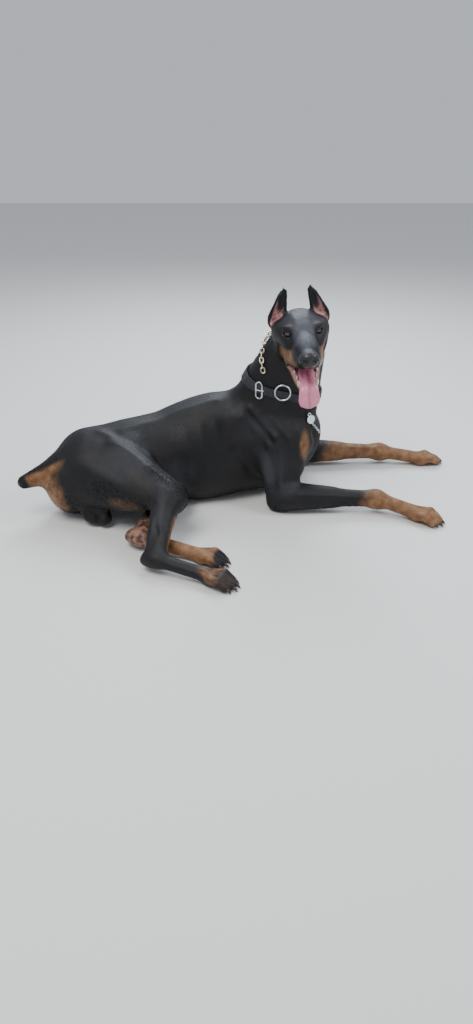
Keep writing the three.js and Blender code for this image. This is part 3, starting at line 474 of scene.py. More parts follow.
        # Round the eye sockets the painted sheen is cut back, so they stay dark as painted shade.
        for side in (1, -1):
            socket = s.ball(at((side * 36, 4, -4), Zone.HEAD), (21, 22, 17), HEAD_TURN)
            total = total * (0.12 + 0.88 * socket.ramp(0.85, 1.25))
        for centre, radii, weight in (
            ((66, -72, 130), (40, 40, 74), 0.42),
            ((30, -28, 236), (56, 36, 40), 0.3),
            ((96, -90, 66), (44, 30, 30), 0.4),
            ((-190, -120, 120), (60, 60, 50), 0.5),
            ((-320, -170, 190), (80, 60, 50), 0.22),
            ((-230, -300, 100), (34, 50, 40), 0.3),
            ((-60, 10, 262), (110, 40, 40), 0.25),
        ):
            part = (s.ball(at(centre), radii) + vary).ramp(1.25, 0.3) * (weight * 0.62)
            total = total.most(part)
        return total

    def lip_mask(self, s: Shader, wander: Value) -> Value:
        """Returns where the edge of the lower lip is bare and pinkish."""
        total: Value | None = None
        for side in (1, -1):
            rim = ((38, 0, -50), (33, 40, -50), (22, 78, -50))
            for start, end in zip(rim, rim[1:]):
                near, _ = s.bar(
                    at((side * start[0], *start[1:]), Zone.JAW), at((side * end[0], *end[1:]), Zone.JAW)
                )
                part = (near + wander * 0.003).ramp(0.0105, 0.006)
                total = part if total is None else total.most(part)
        return total

    def pink_mask(self, s: Shader) -> Value:
        """Returns where bare pink skin shows: inside the mouth and the ear cups."""
        mouth = s.ball(at((0, 30, -66), Zone.HEAD), (27, 72, 20), HEAD_TURN)
        floor = s.ball(at((0, 34, -50), Zone.JAW), (24, 60, 13), JAW)
        mask = mouth.ramp(1.05, 0.95).most(floor.ramp(1.05, 0.95))
        for side in (1, -1):
            near, share = s.bar(at((side * 59, -80, -2), Zone.HEAD), at((side * 30, -83, 96), Zone.HEAD))
            open_side = (head_axis(0) * side * 0.3 + head_axis(1)).normalized()
            front = s.along(open_side, at((side * 55, -84, 6), Zone.HEAD)).ramp(-0.0015, 0.0015)
            wide = near - (1 - share.most(0.0)) * 0.013
            mask = mask.most(wide.ramp(0.0048, 0.0008) * front * 0.85)
        return mask

    def painted_hollow_shade_mask(self, s: Shader) -> Value:
        """Returns where painted shade is darkest: inside the nostrils, at the back of the mouth and in the
        pit below the tail root.
        """
        total = s.ball(at((0, -20, -76), Zone.HEAD), (34, 26, 20), HEAD_TURN).ramp(1.1, 0.8)
        total = total.most(s.ball(at((-528, -131, 101)), (5.5, 7, 6.5)).ramp(1.2, 0.5) * 0.8)
        for side in (1, -1):
            hole = s.ball(at((side * 12.5, 129, -27), Zone.HEAD), (6.4, 9, 4.6), HEAD_TURN)
            slit = s.ball(at((side * 19, 124, -30), Zone.HEAD), (6, 8, 2.2), HEAD_TURN)
            total = total.most(hole.ramp(1.1, 0.85)).most(slit.ramp(1.1, 0.8) * 0.8)
        return total

    def bare_mask(self, s: Shader) -> Value:
        """Returns where the skin is bare and black: nose, lids and lips."""
        nose = s.ball(at((0, 118, -25), Zone.HEAD), (28, 19, 20), HEAD_TURN)
        mask = nose.ramp(1.06, 0.96)
        for side in (1, -1):
            lid = s.ball(at((side * EYE_SPACING / 2, 2, 0), Zone.HEAD), (15, 16, 9.5), HEAD_TURN)
            mask = mask.most(lid.ramp(1.2, 1.0))
            flew = ((46, 4, -80), (36, 42, -72), (22, 80, -60), (6, 112, -50))
            for start, end in zip(flew, flew[1:]):
                near, _ = s.bar(
                    at((side * start[0], *start[1:]), Zone.HEAD), at((side * end[0], *end[1:]), Zone.HEAD)
                )
                mask = mask.most(near.ramp(0.0085, 0.0055) * 0.85)
        return mask


def only(*pieces: bpy.types.Object) -> None:
    """Selects these objects alone and makes the first the active one."""
    if bpy.context.object and bpy.context.object.mode != "OBJECT":
        bpy.ops.object.mode_set(mode="OBJECT")
    bpy.ops.object.select_all(action="DESELECT")
    for piece in pieces:
        piece.select_set(True)
    bpy.context.view_layer.objects.active = pieces[0]


def modify(piece: bpy.types.Object, kind: str, **settings: object) -> None:
    """Adds a modifier with its settings and applies it."""
    only(piece)
    modifier = piece.modifiers.new(kind, kind)
    for key, value in settings.items():
        setattr(modifier, key, value)
    bpy.ops.object.modifier_apply(modifier=modifier.name)


def places(piece: bpy.types.Object) -> np.ndarray:
    """Returns the piece's vertices as an array."""
    flat = np.empty(len(piece.data.vertices) * 3, np.float32)
    piece.data.vertices.foreach_get("co", flat)
    return flat.reshape(-1, 3).astype(float)


def put(piece: bpy.types.Object, spots: np.ndarray) -> None:
    """Moves the piece's vertices to these places."""
    piece.data.vertices.foreach_set("co", spots.astype(np.float32).ravel())
    piece.data.update()


def normals(piece: bpy.types.Object) -> np.ndarray:
    """Returns the piece's vertex normals as an array."""
    flat = np.empty(len(piece.data.vertices) * 3, np.float32)
    piece.data.vertex_normals.foreach_get("vector", flat)
    return flat.reshape(-1, 3).astype(float)


def settle(piece: bpy.types.Object, name: str, material: bpy.types.Material) -> bpy.types.Object:
    """Names a finished piece, dresses it and ties it to the body.

    Args:
        piece: the piece, in place.
        name: its name.
        material: its finish.

    Returns:
        The piece.
    """
    only(piece)
    bpy.ops.object.transform_apply(location=True, rotation=True, scale=True)
    piece.name = name
    piece.data.name = name
    piece.data.materials.clear()
    piece.data.materials.append(material)
    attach(piece, "root")
    log.info("%s: %d triangles", name, sum(len(p.vertices) - 2 for p in piece.data.polygons))
    return piece


def distance_to(spots: np.ndarray, start: Vector, end: Vector) -> tuple[np.ndarray, np.ndarray]:
    """Returns each spot's distance from a segment and the share of the way along it."""
    a, b = np.array(start), np.array(end)
    span = b - a
    share = np.clip((spots - a) @ span / (span @ span), 0, 1)
    return np.linalg.norm(spots - a - share[:, None] * span, axis=1), share


@dataclass(frozen=True)
class Stroke:
    """One ridge or groove of the skin along a path."""

    zone: Zone
    path: tuple
    reach: float
    height: float

    def lift(self, spots: np.ndarray) -> np.ndarray:
        """Returns how far each spot is raised, in metres."""
        points = [at(point, self.zone) for point in self.path]
        reach = self.reach * MM
        low = np.min([list(p) for p in points], axis=0) - 3 * reach
        high = np.max([list(p) for p in points], axis=0) + 3 * reach
        near = np.nonzero(np.all((spots > low) & (spots < high), axis=1))[0]
        raised = np.zeros(len(spots))
        if len(near):
            close = np.full(len(near), 9.0)
            for start, end in zip(points, points[1:]):
                close = np.minimum(close, distance_to(spots[near], start, end)[0])
            raised[near] = self.height * MM * np.exp(-((close / reach) ** 2))
        return raised


BODY_STROKES = tuple(
    Stroke(*row)
    for row in (
        (Zone.BODY, ((7, -14, 282), (39, -25, 252), (78, -43, 213)), 10, 4),
        (Zone.BODY, ((-2, -16, 270), (31, -27, 238), (67, -44, 197)), 7, -3.5),
        (Zone.BODY, ((-12, -18, 261), (23, -29, 225), (56, -46, 182)), 10, 4),
        (Zone.BODY, ((39, -21, 274), (83, -30, 242), (115, -52, 204)), 9, 4),
        (Zone.BODY, ((60, -34, 236), (92, -44, 205)), 7, -3),
        (Zone.BODY, ((78, -46, 202), (100, -69, 147), (92, -94, 86)), 15, 4),
        (Zone.BODY, ((-30, -49, 176), (8, -39, 112), (30, -52, 84)), 13, -7),
        (Zone.BODY, ((40, -38, 199), (67, -66, 137), (73, -93, 73)), 12, -4),
        (Zone.BODY, ((10, -30, 190), (34, -62, 130), (52, -80, 84)), 18, 5),
        (Zone.BODY, ((-70, -10, 282), (-10, -24, 226)), 16, 4),
        (Zone.BODY, ((-247, -193, 186), (-216, -220, 172), (-196, -232, 160)), 9, 3.5),
        (Zone.BODY, ((-240, -160, 176), (-196, -170, 140), (-160, -170, 100)), 15, -6),
        (Zone.BODY, ((-357, -122, 226), (-285, -168, 203), (-249, -206, 181)), 14, 4),
        (Zone.BODY, ((-350, -90, 236), (-280, -118, 214), (-240, -140, 190)), 16, -5),
        (Zone.BODY, ((-400, -160, 190), (-330, -206, 165), (-262, -246, 140)), 16, -3),
        (Zone.BODY, ((-387, -203, 128), (-329, -230, 133), (-271, -256, 111)), 12, 3.5),
        (Zone.BODY, ((-246, -294, 96), (-218, -343, 96), (-204, -376, 70)), 6, 2.5),
        (Zone.BODY, ((-230, -310, 105), (-226, -360, 84)), 6, -2.5),
        (Zone.BODY, ((-237, -319, 102), (-248, -385, 50)), 7, 3),
        (Zone.BODY, ((-129, -42, 244), (-115, -73, 184), (-111, -79, 112)), 10, 2),
        (Zone.BODY, ((-88, -32, 249), (-72, -62, 185), (-64, -66, 115)), 10, 2),
        (Zone.BODY, ((-170, -48, 238), (-160, -80, 180), (-158, -84, 118)), 10, 2),
        (Zone.BODY, ((-342, -67, 240), (-212, -10, 261), (-89, 19, 293)), 12, 3),
        (Zone.BODY, ((-395, -75, 238), (-360, -94, 234)), 14, 5),
        (Zone.BODY, ((150, -106, 64), (227, -106, 62), (343, -102, 56)), 6, 2.5),
        (Zone.BODY, ((160, -112, 48), (240, -112, 46), (320, -106, 42)), 6, -2.5),
        (Zone.BODY, ((190, 226, 66), (300, 232, 62), (400, 238, 56)), 6, 2.5),
        (Zone.BODY, ((370, -92, 64), (420, -108, 48), (462, -126, 40)), 4, 1.6),
        (Zone.BODY, ((160, -21, 236), (178, -24, 193), (190, 39, 120)), 12, 4),
        (Zone.BODY, ((168, 20, 230), (188, 60, 170)), 16, -4),
        (Zone.BODY, ((-404, -160, 62), (-403, -188, 36), (-403, -184, 8)), 4.5, -7),
        (Zone.BODY, ((-528, -131, 101), (-527, -131, 100)), 4, -4),
        (Zone.BODY, ((-528, -122, 106), (-530, -140, 104), (-524, -138, 92), (-524, -124, 94)), 3, 1.8),
        (Zone.BODY, ((-520, -116, 120), (-500, -150, 84), (-470, -170, 52)), 10, -4),
    )
)
FACE_STROKES = tuple(
    Stroke(*row)
    for row in (
        (Zone.HEAD, ((19, 13, 12), (32, 11, 17), (47, -2, 13)), 6, 2.8),
        (Zone.HEAD, ((22, 15, 3), (30, 14, 9), (40, 10, 9), (49, 2, 3)), 2.4, 1.5),
        (Zone.HEAD, ((22, 15, -3), (31, 13, -9), (41, 9, -8), (49, 2, -2)), 2.4, 1.4),
        (Zone.HEAD, ((18, 24, -10), (33, 17, -18), (48, 2, -17)), 4.5, -2.2),
        (Zone.HEAD, ((47, 0, -66), (51, -18, -56), (52, -40, -46)), 5, -2.5),
        (Zone.HEAD, ((60, -50, -50), (56, -46, -80)), 8, 3),
        (Zone.HEAD, ((26, 28, -24), (25, 56, -28), (23, 88, -31)), 6, -2.4),
        (Zone.HEAD, ((47, 4, -79), (38, 40, -70), (25, 78, -60)), 3.4, 1.8),
        (Zone.HEAD, ((0, 26, 14), (0, -16, 27), (0, -60, 28)), 8, -2.2),
        (Zone.HEAD, ((12, 24, 14), (16, -14, 27), (20, -50, 27)), 8, 1.2),
        (Zone.HEAD, ((44, -28, 18), (47, -52, 12)), 13, -3),
        (Zone.HEAD, ((7, 134, -21), (14, 133, -17), (22, 126, -22), (24, 120, -30)), 2.6, 1.6),
        (Zone.HEAD, ((0, 133, -24), (0, 131, -38), (0, 126, -50)), 1.8, -2.4),
        (Zone.HEAD, ((10, 133, -27), (14, 131, -27)), 3.6, -5),
        (Zone.HEAD, ((17, 128, -30), (23, 120, -33)), 2.0, -2.6),
        (Zone.JAW, ((38, 10, -49), (30, 50, -48), (16, 88, -49), (0, 98, -50)), 3, 2.2),
    )
)


@dataclass
class Skin:
    """One skin over all the flesh, smoothed from the CAD solids and modelled further."""

    voxel: float = 0.0018
    depth: float = 0.0008

    def build(self) -> bpy.types.Object:
        """Builds the skin and returns it."""
        only(*[copy_of(name) for name in FLESH])
        bpy.ops.object.join()
        skin = bpy.context.object
        modify(skin, "REMESH", mode="VOXEL", voxel_size=self.voxel)
        log.info("remeshed to %d vertices", len(skin.data.vertices))
        self.smooth(skin)
        self.model(skin)
        spots = places(skin)
        put(skin, np.maximum(spots - normals(skin) * self.depth, [-9, -9, 0.0002]))
        self.thin(skin)
        bpy.ops.object.shade_smooth()
        self.unwrap(skin)
        return skin

    def unwrap(self, skin: bpy.types.Object) -> None:
        """Unfolds the skin into a map of its own shape."""
        only(skin)
        while skin.data.uv_layers:
            skin.data.uv_layers.remove(skin.data.uv_layers[0])
        skin.data.uv_layers.new(name=BAKE_MAP)
        bpy.ops.object.mode_set(mode="EDIT")
        bpy.ops.mesh.select_all(action="SELECT")
        bpy.ops.uv.smart_project(angle_limit=math.radians(75), island_margin=0.0005)
        bpy.ops.object.mode_set(mode="OBJECT")

    def smooth(self, skin: bpy.types.Object) -> None:
        """Smooths the CAD's facets: much on the trunk, less on the legs, least on head and paws."""
        spots = places(skin)
        head = self.head_weight(spots)
        for toes, heading, reach in PAWS:
            far = Vector(toes) + Vector((*heading, 0)) * reach
            near, _ = distance_to(spots, at(toes), at(far))
            head = np.maximum(head, np.clip(3 - near / 0.022, 0, 1))
        limbs = np.zeros(len(spots))
        for start, end, wide in (
            (WRIST_RIGHT, FORE_RIGHT, 60),
            (WRIST_LEFT, FORE_LEFT, 60),
            (ELBOW_RIGHT, WRIST_RIGHT, 50),
            (ELBOW_LEFT, WRIST_LEFT, 50),
            (KNEE_RIGHT, HOCK_RIGHT, 50),
            (HOCK_RIGHT, HIND_RIGHT, 60),
            (KNEE_LEFT, HOCK_LEFT, 45),
            (HOCK_LEFT, HIND_LEFT, 60),
            (TAIL_ROOT, TAIL_TIP, 40),
            ((-422, -156, 33), (-388, -168, 29), 36),
        ):
            near, _ = distance_to(spots, at(start), at(end))
            limbs = np.maximum(limbs, np.clip(2 - near / (wide * MM), 0, 1))
        rise = (spots - np.array(at(COLLAR_SEAM))) @ np.array(COLLAR_SIDE)
        axis, _ = distance_to(spots, at(NECK_BASE), at(NECK_TOP))
        under_strap = np.clip(2.5 - np.abs(rise - STRAP_MIDDLE) / 0.0145, 0, 1) * (axis < 0.17)
        for name, weight, turns in (
            ("trunk", (1 - head) * (1 - limbs) * (1 - 0.95 * under_strap), 90),
            ("limbs", (1 - head) * limbs, 30),
            ("head", head, 8),
        ):
            group = skin.vertex_groups.new(name=name)
            levels = np.round(weight, 1)
            for level in np.unique(levels):
                if level > 0:
                    group.add(np.nonzero(levels == level)[0].tolist(), float(level), "REPLACE")
            modify(skin, "SMOOTH", factor=0.6, iterations=turns, vertex_group=name)

    def head_weight(self, spots: np.ndarray) -> np.ndarray:
        """Returns 1 on the head and 0 away from it."""
        back, _ = distance_to(spots, at((0, -80, -10), Zone.HEAD), at((0, 100, -60), Zone.HEAD))
        ears = np.full(len(spots), np.inf)
        for side in (1, -1):
            root = at((side * EAR_ROOT_SPREAD, -84, 8), Zone.HEAD)
            tip = at((side * EAR_TIP_SPREAD, -87, 97), Zone.HEAD)
            ears = np.minimum(ears, distance_to(spots, root, tip)[0])
        return np.clip(np.maximum(2 - back / 0.09, 2 - ears / 0.04), 0, 1)

    def model(self, skin: bpy.types.Object) -> None:
        """Raises and sinks the skin along the strokes, and lifts the gum behind the upper lip."""
        strokes = list(BODY_STROKES)
        for stroke in FACE_STROKES:
            strokes.append(stroke)
            mirrored = tuple((-x, y, z) for x, y, z in stroke.path)
            if mirrored != stroke.path:
                strokes.append(Stroke(stroke.zone, mirrored, stroke.reach, stroke.height))
        for toes, heading, reach in PAWS:
            ahead = Vector((*heading, 0)).normalized()
            side = Vector((-ahead.y, ahead.x, 0))
            for fan in (-1, 0, 1):
                start = Vector(toes) + side * fan * 13 + Vector((0, 0, 22))
                end = Vector(toes) + side * fan * 15.5 + ahead * reach * 0.85
                end.z = 20
                low = end + ahead * 12
                low.z = 8
                strokes.append(Stroke(Zone.BODY, (tuple(start), tuple(end), tuple(low)), 3.4, -3.4))
        spots = places(skin)
        out = normals(skin)
        lift = np.zeros(len(spots))
        for stroke in strokes:
            lift += stroke.lift(spots)
        spots = spots + out * lift[:, None]
        own = np.array([list(row) for row in HEAD.inverted()])
        near = spots @ own[:3, :3].T + own[:3, 3]
        gum = (near[:, 1] > 78) & (near[:, 1] < 108) & (np.abs(near[:, 0]) < 25) & (near[:, 2] > -76)
        low = np.where(gum & (near[:, 2] < -51), (-51 - near[:, 2]) * 0.8 * MM, 0)
        put(skin, spots + np.array(head_axis(2)) * low[:, None])

    def thin(self, skin: bpy.types.Object) -> None:
        """Decimates the skin, the body more than the head, and evens the body once more."""
        head = self.head_weight(places(skin))
        group = skin.vertex_groups.new(name="keep")
        group.add(np.nonzero(head < 0.5)[0].tolist(), 1.0, "REPLACE")
        group.add(np.nonzero(head >= 0.5)[0].tolist(), 0.45, "REPLACE")
        faces = len(skin.data.polygons) * 2
        ratio = min(1.0, SKIN_TRIANGLES / faces)
        modify(skin, "DECIMATE", ratio=ratio, vertex_group="keep", vertex_group_factor=0.6)
        body = skin.vertex_groups.new(name="body")
        head = self.head_weight(places(skin))
        body.add(np.nonzero(head < 0.3)[0].tolist(), 1.0, "REPLACE")
        modify(skin, "SMOOTH", factor=0.5, iterations=4, vertex_group="body")


@dataclass
class Eyes:
    """Two wet brown eyes."""

    radius: float = 11.6

    def material(self) -> bpy.types.Material:
        """Returns the eye's finish, with pupil, iris and rim by their place."""
        s = Shader("eye")
        rings: Value | None = None
        for side in (1, -1):
            gaze = (head_axis(0) * side * 0.42 + head_axis(1) * 0.9 + head_axis(2) * 0.02).normalized()
            centre = at((side * EYE_SPACING / 2, 0, 0), Zone.HEAD)
            near = self.angle(s, centre, gaze)
            rings = near if rings is None else rings.least(near)
        iris = s.node(
            "ShaderNodeValToRGB",
            {
                "stops": (
                    (0.0, (0.002, 0.002, 0.002)),
                    (0.36, (0.003, 0.002, 0.002)),
                    (0.44, (0.045, 0.018, 0.007)),
                    (0.70, (0.026, 0.011, 0.005)),
                    (0.84, (0.006, 0.004, 0.003)),
                    (0.98, (0.05, 0.035, 0.03)),
                )
            },
            {0: rings + (s.noise(900, 3) - 0.5) * 0.06},
            "Color",
        )
        return s.finish(
            Base_Color=iris, Roughness=0.12, Coat_Weight=1.0, Coat_Roughness=0.02, Specular_IOR_Level=0.6
        )

    def angle(self, s: Shader, centre: Vector, gaze: Vector) -> Value:
        """Returns the distance from the pupil's centre as a share of the eye's radius."""
        return s.apart(tuple(centre + gaze * self.radius * MM)) / (self.radius * MM)

    def build(self) -> None:
        """Builds both eyes."""
        material = self.material()
        for side, name in ((1, "right"), (-1, "left")):
            fresh()
            bpy.ops.mesh.primitive_uv_sphere_add(
                segments=48,
                ring_count=32,
                radius=self.radius * MM,
                location=at((side * EYE_SPACING / 2, 0, 0), Zone.HEAD),
            )
            eye = bpy.context.object
            bpy.ops.object.shade_smooth()
            settle(eye, f"eye_{name}_ball", material)
            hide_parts(f"eye_{name}")


class Wear(Enum):
    """The plain finishes of the trim."""

    STRAP = "strap"
    STEEL = "steel"
    BRASS = "brass"
    TAG = "tag"
    TOOTH = "tooth"
    CLAW = "claw"
    TONGUE = "tongue"


@dataclass(frozen=True)
class WearFinish:
    """A finish for the pieces that are not hair."""

    kind: Wear

    def material(self) -> bpy.types.Material:
        """Builds the material."""
        s = Shader(self.kind.value)
        wear = s.noise(160, 4)
        fine = s.noise(1400, 3)
        if self.kind is Wear.STRAP:
            rows = s.maths("SINE", s.along(COLLAR_SIDE, at(COLLAR_SEAM)) * 2 * math.pi / 0.0022)
            edge = s.maths("ABSOLUTE", s.along(COLLAR_SIDE, at(COLLAR_SEAM)) - STRAP_MIDDLE)
            stitch = edge.ramp(0.0225, 0.0235) * edge.ramp(0.0255, 0.0245)
            tone = s.blend(wear.ramp(0.3, 0.75), (0.006, 0.006, 0.009), (0.026, 0.027, 0.038))
            tone = s.blend(edge.ramp(0.0262, 0.0272) * 0.8, tone, (0.05, 0.05, 0.06))
            tone = s.blend(stitch * 0.7, tone, (0.09, 0.09, 0.1))
            weave = s.bump(rows * 0.5 + fine, 0.0006, 0.8)
            return s.finish(Base_Color=tone, Roughness=0.5 + 0.25 * wear, Normal=weave)
        if self.kind in (Wear.STEEL, Wear.BRASS):
            bright = (0.72, 0.73, 0.76) if self.kind is Wear.STEEL else (0.83, 0.76, 0.58)
            dull = (0.36, 0.37, 0.39) if self.kind is Wear.STEEL else (0.42, 0.34, 0.2)
            tone = s.blend(wear.ramp(0.35, 0.75), bright, dull)
            scuffs = s.bump(fine, 0.0002, 0.4)
            return s.finish(Base_Color=tone, Metallic=0.85, Roughness=0.2 + 0.2 * wear, Normal=scuffs)
        if self.kind is Wear.TAG:
            tone = s.blend(wear.ramp(0.4, 0.8), (0.78, 0.86, 0.92), (0.55, 0.66, 0.74))
            return s.finish(Base_Color=tone, Roughness=0.25 + 0.2 * wear, Coat_Weight=0.4, Metallic=0.15)
        if self.kind is Wear.TOOTH:
            tone = s.blend(wear, (0.84, 0.8, 0.7), (0.66, 0.56, 0.42))
            return s.finish(Base_Color=tone, Roughness=0.2, Coat_Weight=0.5)
        if self.kind is Wear.CLAW:
            tone = s.blend(wear, (0.012, 0.01, 0.009), (0.06, 0.045, 0.035))
            return s.finish(Base_Color=tone, Roughness=0.3 + 0.2 * fine, Normal=s.bump(fine, 0.0003, 0.5))
        # Painted shade: the tongue's colour is darker along its middle, where the groove sinks.
        across = s.maths("ABSOLUTE", s.along(head_axis(0), at((2, 0, 0), Zone.HEAD)))
        centre = across.ramp(0.0055, 0.0)
        tip = s.along(head_axis(2), at((0, 0, -150), Zone.HEAD)).ramp(0.03, -0.02)
        tone = s.blend(wear, (0.6, 0.17, 0.26), (0.7, 0.25, 0.34))
        tone = s.blend(tip * 0.6, tone, (0.72, 0.2, 0.33))
        tone = s.blend(centre * 0.5, tone, (0.4, 0.09, 0.15))
        buds = s.node("ShaderNodeTexVoronoi", {}, {"Vector": s.place, "Scale": 900}, "Distance")
        furrows = s.noise(220, 2, (3, 1, 0.25))
        rough = s.bump(buds, 0.0006, 0.8, s.bump(furrows, 0.0012, 0.6))
        return s.finish(Base_Color=tone, Roughness=0.3, Coat_Weight=0.7, Coat_Roughness=0.12, Normal=rough)


def fresh() -> None:
    """Leaves edit mode and deselects all, before a new primitive."""
    if bpy.context.object and bpy.context.object.mode != "OBJECT":
        bpy.ops.object.mode_set(mode="OBJECT")
    bpy.ops.object.select_all(action="DESELECT")


def facing(z: Vector, x: Vector, spot: Vector) -> Matrix:
    """Returns a placement whose z looks along z and whose x is as near to x as can be."""
    look = z.normalized()
    along = (x - look * x.dot(look)).normalized()
    turn = Matrix((along, look.cross(along), look)).transposed().to_4x4()
    return Matrix.Translation(spot) @ turn


def copies_of(model: bpy.types.Object, lies: list[Matrix]) -> bpy.types.Object:
    """Copies a modelled piece to each placement, each with its own mesh, and joins them."""
    made = []
    for lie in lies:
        copy = model.copy()
        copy.data = model.data.copy()
        bpy.context.scene.collection.objects.link(copy)
        copy.data.transform(lie)
        made.append(copy)
    bpy.data.objects.remove(model)
    fresh()
    only(*made)
    if len(made) > 1:
        bpy.ops.object.join()
    return bpy.context.object


def select_where(piece: bpy.types.Object, test: Callable[[Vector], bool]) -> None:
    """Enters edit mode with the vertices whose place passes the test selected."""
    only(piece)
    bpy.ops.object.mode_set(mode="EDIT")
    bpy.ops.mesh.select_mode(type="VERT")
    bpy.ops.mesh.select_all(action="DESELECT")
    bpy.ops.object.mode_set(mode="OBJECT")
    for vertex in piece.data.vertices:
        vertex.select = bool(test(vertex.co))
    bpy.ops.object.mode_set(mode="EDIT")


@dataclass
class Fangs:
    """Teeth and claws: one curved, tapered horn, modelled once and copied to each place."""

    sides: int = 14

    def horn(self) -> bpy.types.Object:
        """Models a horn of radius 1 and length 1 along z that hooks toward +x."""
        fresh()
        bpy.ops.mesh.primitive_cylinder_add(vertices=self.sides, radius=1, depth=0.34, location=(0, 0, 0.17))
        horn = bpy.context.object
        bpy.ops.object.transform_apply(location=True)
        for rise, size, lean in ((0.22, 0.8, 0.05), (0.2, 0.7, 0.12), (0.15, 0.58, 0.16), (0.09, 0.25, 0.1)):
            top = max(v.co.z for v in horn.data.vertices)
            select_where(horn, lambda co: co.z > top - 1e-4)
            bpy.ops.mesh.extrude_region_move(TRANSFORM_OT_translate={"value": (lean, 0, rise)})
            bpy.ops.transform.resize(value=(size, size, 1))
            bpy.ops.object.mode_set(mode="OBJECT")
        bpy.ops.object.shade_smooth_by_angle(angle=math.radians(50))
        return horn

    def lies(self, spots: tuple) -> list[Matrix]:
        """Returns placements for horns given as root, tip, radius, hook direction and zone."""
        out = []
        for root, tip, radius, hook, zone in spots:
            start, end = at(root, zone), at(tip, zone)
            lie = facing(end - start, hook, start)
            size = Matrix.Diagonal((radius * MM, radius * MM, (end - start).length, 1))
            out.append(lie @ size)
        return out

    def build(self) -> None:
        """Builds the teeth and the claws."""
        back = -head_axis(1)
        teeth = []
        for side in (1, -1):
            teeth += [
                ((side * 16, 86, -44), (side * 17, 88, -57), 4.4, back, Zone.HEAD),
                ((side * 24, 44, -50), (side * 25, 44, -63), 5.0, back, Zone.HEAD),
                ((side * 21, 78, -52), (side * 24.5, 80, -30), 4.9, back, Zone.JAW),
                ((side * 24, 54, -53), (side * 25, 53, -44), 2.4, back, Zone.JAW),
                ((side * 28, 36, -53), (side * 29, 35, -42.5), 3.0, back, Zone.JAW),
                ((side * 4, 92, -52), (side * 4, 94, -42), 3.2, back, Zone.JAW),
                ((side * 11, 89, -52), (side * 12, 91, -42), 3.4, back, Zone.JAW),
            ]
        row = copies_of(self.horn(), self.lies(tuple(teeth)))
        settle(row, "teeth", WearFinish(Wear.TOOTH).material())
        claws = []
        down = Vector((0, 0, -1))
        for toes, heading, reach in PAWS:
            ahead = Vector((*heading, 0)).normalized()
            side = Vector((-ahead.y, ahead.x, 0))
            for fan in TOE_FAN:
                middle = 1 - abs(fan) / 3.2
                tip = Vector(toes) + side * fan * 15.5 + ahead * reach * (0.45 + middle * 0.55)
                root = Vector((tip.x, tip.y, 12.5)) + ahead * 4
                end = Vector((tip.x, tip.y, 4.6)) + ahead * 17
                claws.append((tuple(root), tuple(end), 4.3, down, Zone.BODY))
        horns = copies_of(self.horn(), self.lies(tuple(claws)))
        spots = places(horns)
        put(horns, np.maximum(spots, [-9, -9, 0.0004]))
        settle(horns, "claws", WearFinish(Wear.CLAW).material())


def copy_of(name: str) -> bpy.types.Object:
    """Returns a loose copy of a CAD node to model further."""
    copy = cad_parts[name].copy()
    copy.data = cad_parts[name].data.copy()
    copy.parent = None
    for key in list(copy.keys()):
        del copy[key]
    bpy.context.scene.collection.objects.link(copy)
    return copy


@dataclass
class Tongue:
    """The tongue, with its centre groove, soft edge and curled tip."""

    voxel: float = 0.0013

    def build(self) -> None:
        """Builds it from the CAD's ribbon."""
        tongue = copy_of("tongue")
        modify(tongue, "REMESH", mode="VOXEL", voxel_size=self.voxel)
        modify(tongue, "SMOOTH", factor=0.6, iterations=24)
        spots = places(tongue)
        out = normals(tongue)
        run = ((0, 30, -94), (0, 74, -106), (1, 92, -122), (2, 97, -140))
        groove = Stroke(Zone.HEAD, (*run, (2, 97, -158)), 3.2, -2.6)
        banks = []
        for off in (-11, 11):
            beside = tuple((x + off, y, z) for x, y, z in (*run, (2, 95, -156)))
            banks.append(Stroke(Zone.HEAD, beside, 8, 1.6))
        lift = groove.lift(spots) + sum(bank.lift(spots) for bank in banks)
        put(tongue, spots + out * lift[:, None])
        modify(tongue, "SMOOTH", factor=0.5, iterations=3)
        bpy.ops.object.shade_smooth()
        settle(tongue, "tongue_flesh", WearFinish(Wear.TONGUE).material())
        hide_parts("tongue")


@dataclass
class Strap:
    """The broad strap about the neck."""

    width: float = 57.0
    thick: float = 4.2
    around: int = 144

    def build(self) -> bpy.types.Object:
        """Builds the strap by wrapping a tube onto the CAD's collar, then thickening it."""
        middle = middle_of("collar")
        face = at(COLLAR_SEAM) + COLLAR_SIDE * STRAP_MIDDLE
        middle = middle + COLLAR_SIDE * (face - middle).dot(COLLAR_SIDE)
        fresh()
        bpy.ops.mesh.primitive_cylinder_add(
            vertices=self.around, radius=0.15, depth=self.width * MM, end_fill_type="NOTHING"
        )
        strap = bpy.context.object
        select_where(strap, lambda co: True)
        bpy.ops.mesh.subdivide(number_cuts=1)
        bpy.ops.object.mode_set(mode="OBJECT")
        strap.data.transform(facing(COLLAR_SIDE, Vector((1, 0, 0)), middle))
        modify(
            strap,
            "SHRINKWRAP",
            target=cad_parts["collar"],
            wrap_method="PROJECT",
            use_negative_direction=True,
            use_positive_direction=False,
        )
        modify(strap, "SMOOTH", factor=0.5, iterations=10)
        modify(strap, "SOLIDIFY", thickness=self.thick * MM, offset=-0.2)
        modify(strap, "BEVEL", width=0.0008, segments=3, limit_method="ANGLE")
        bpy.ops.object.shade_smooth_by_angle(angle=math.radians(40))
        settle(strap, "strap_band", WearFinish(Wear.STRAP).material())
        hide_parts("collar")
        return strap


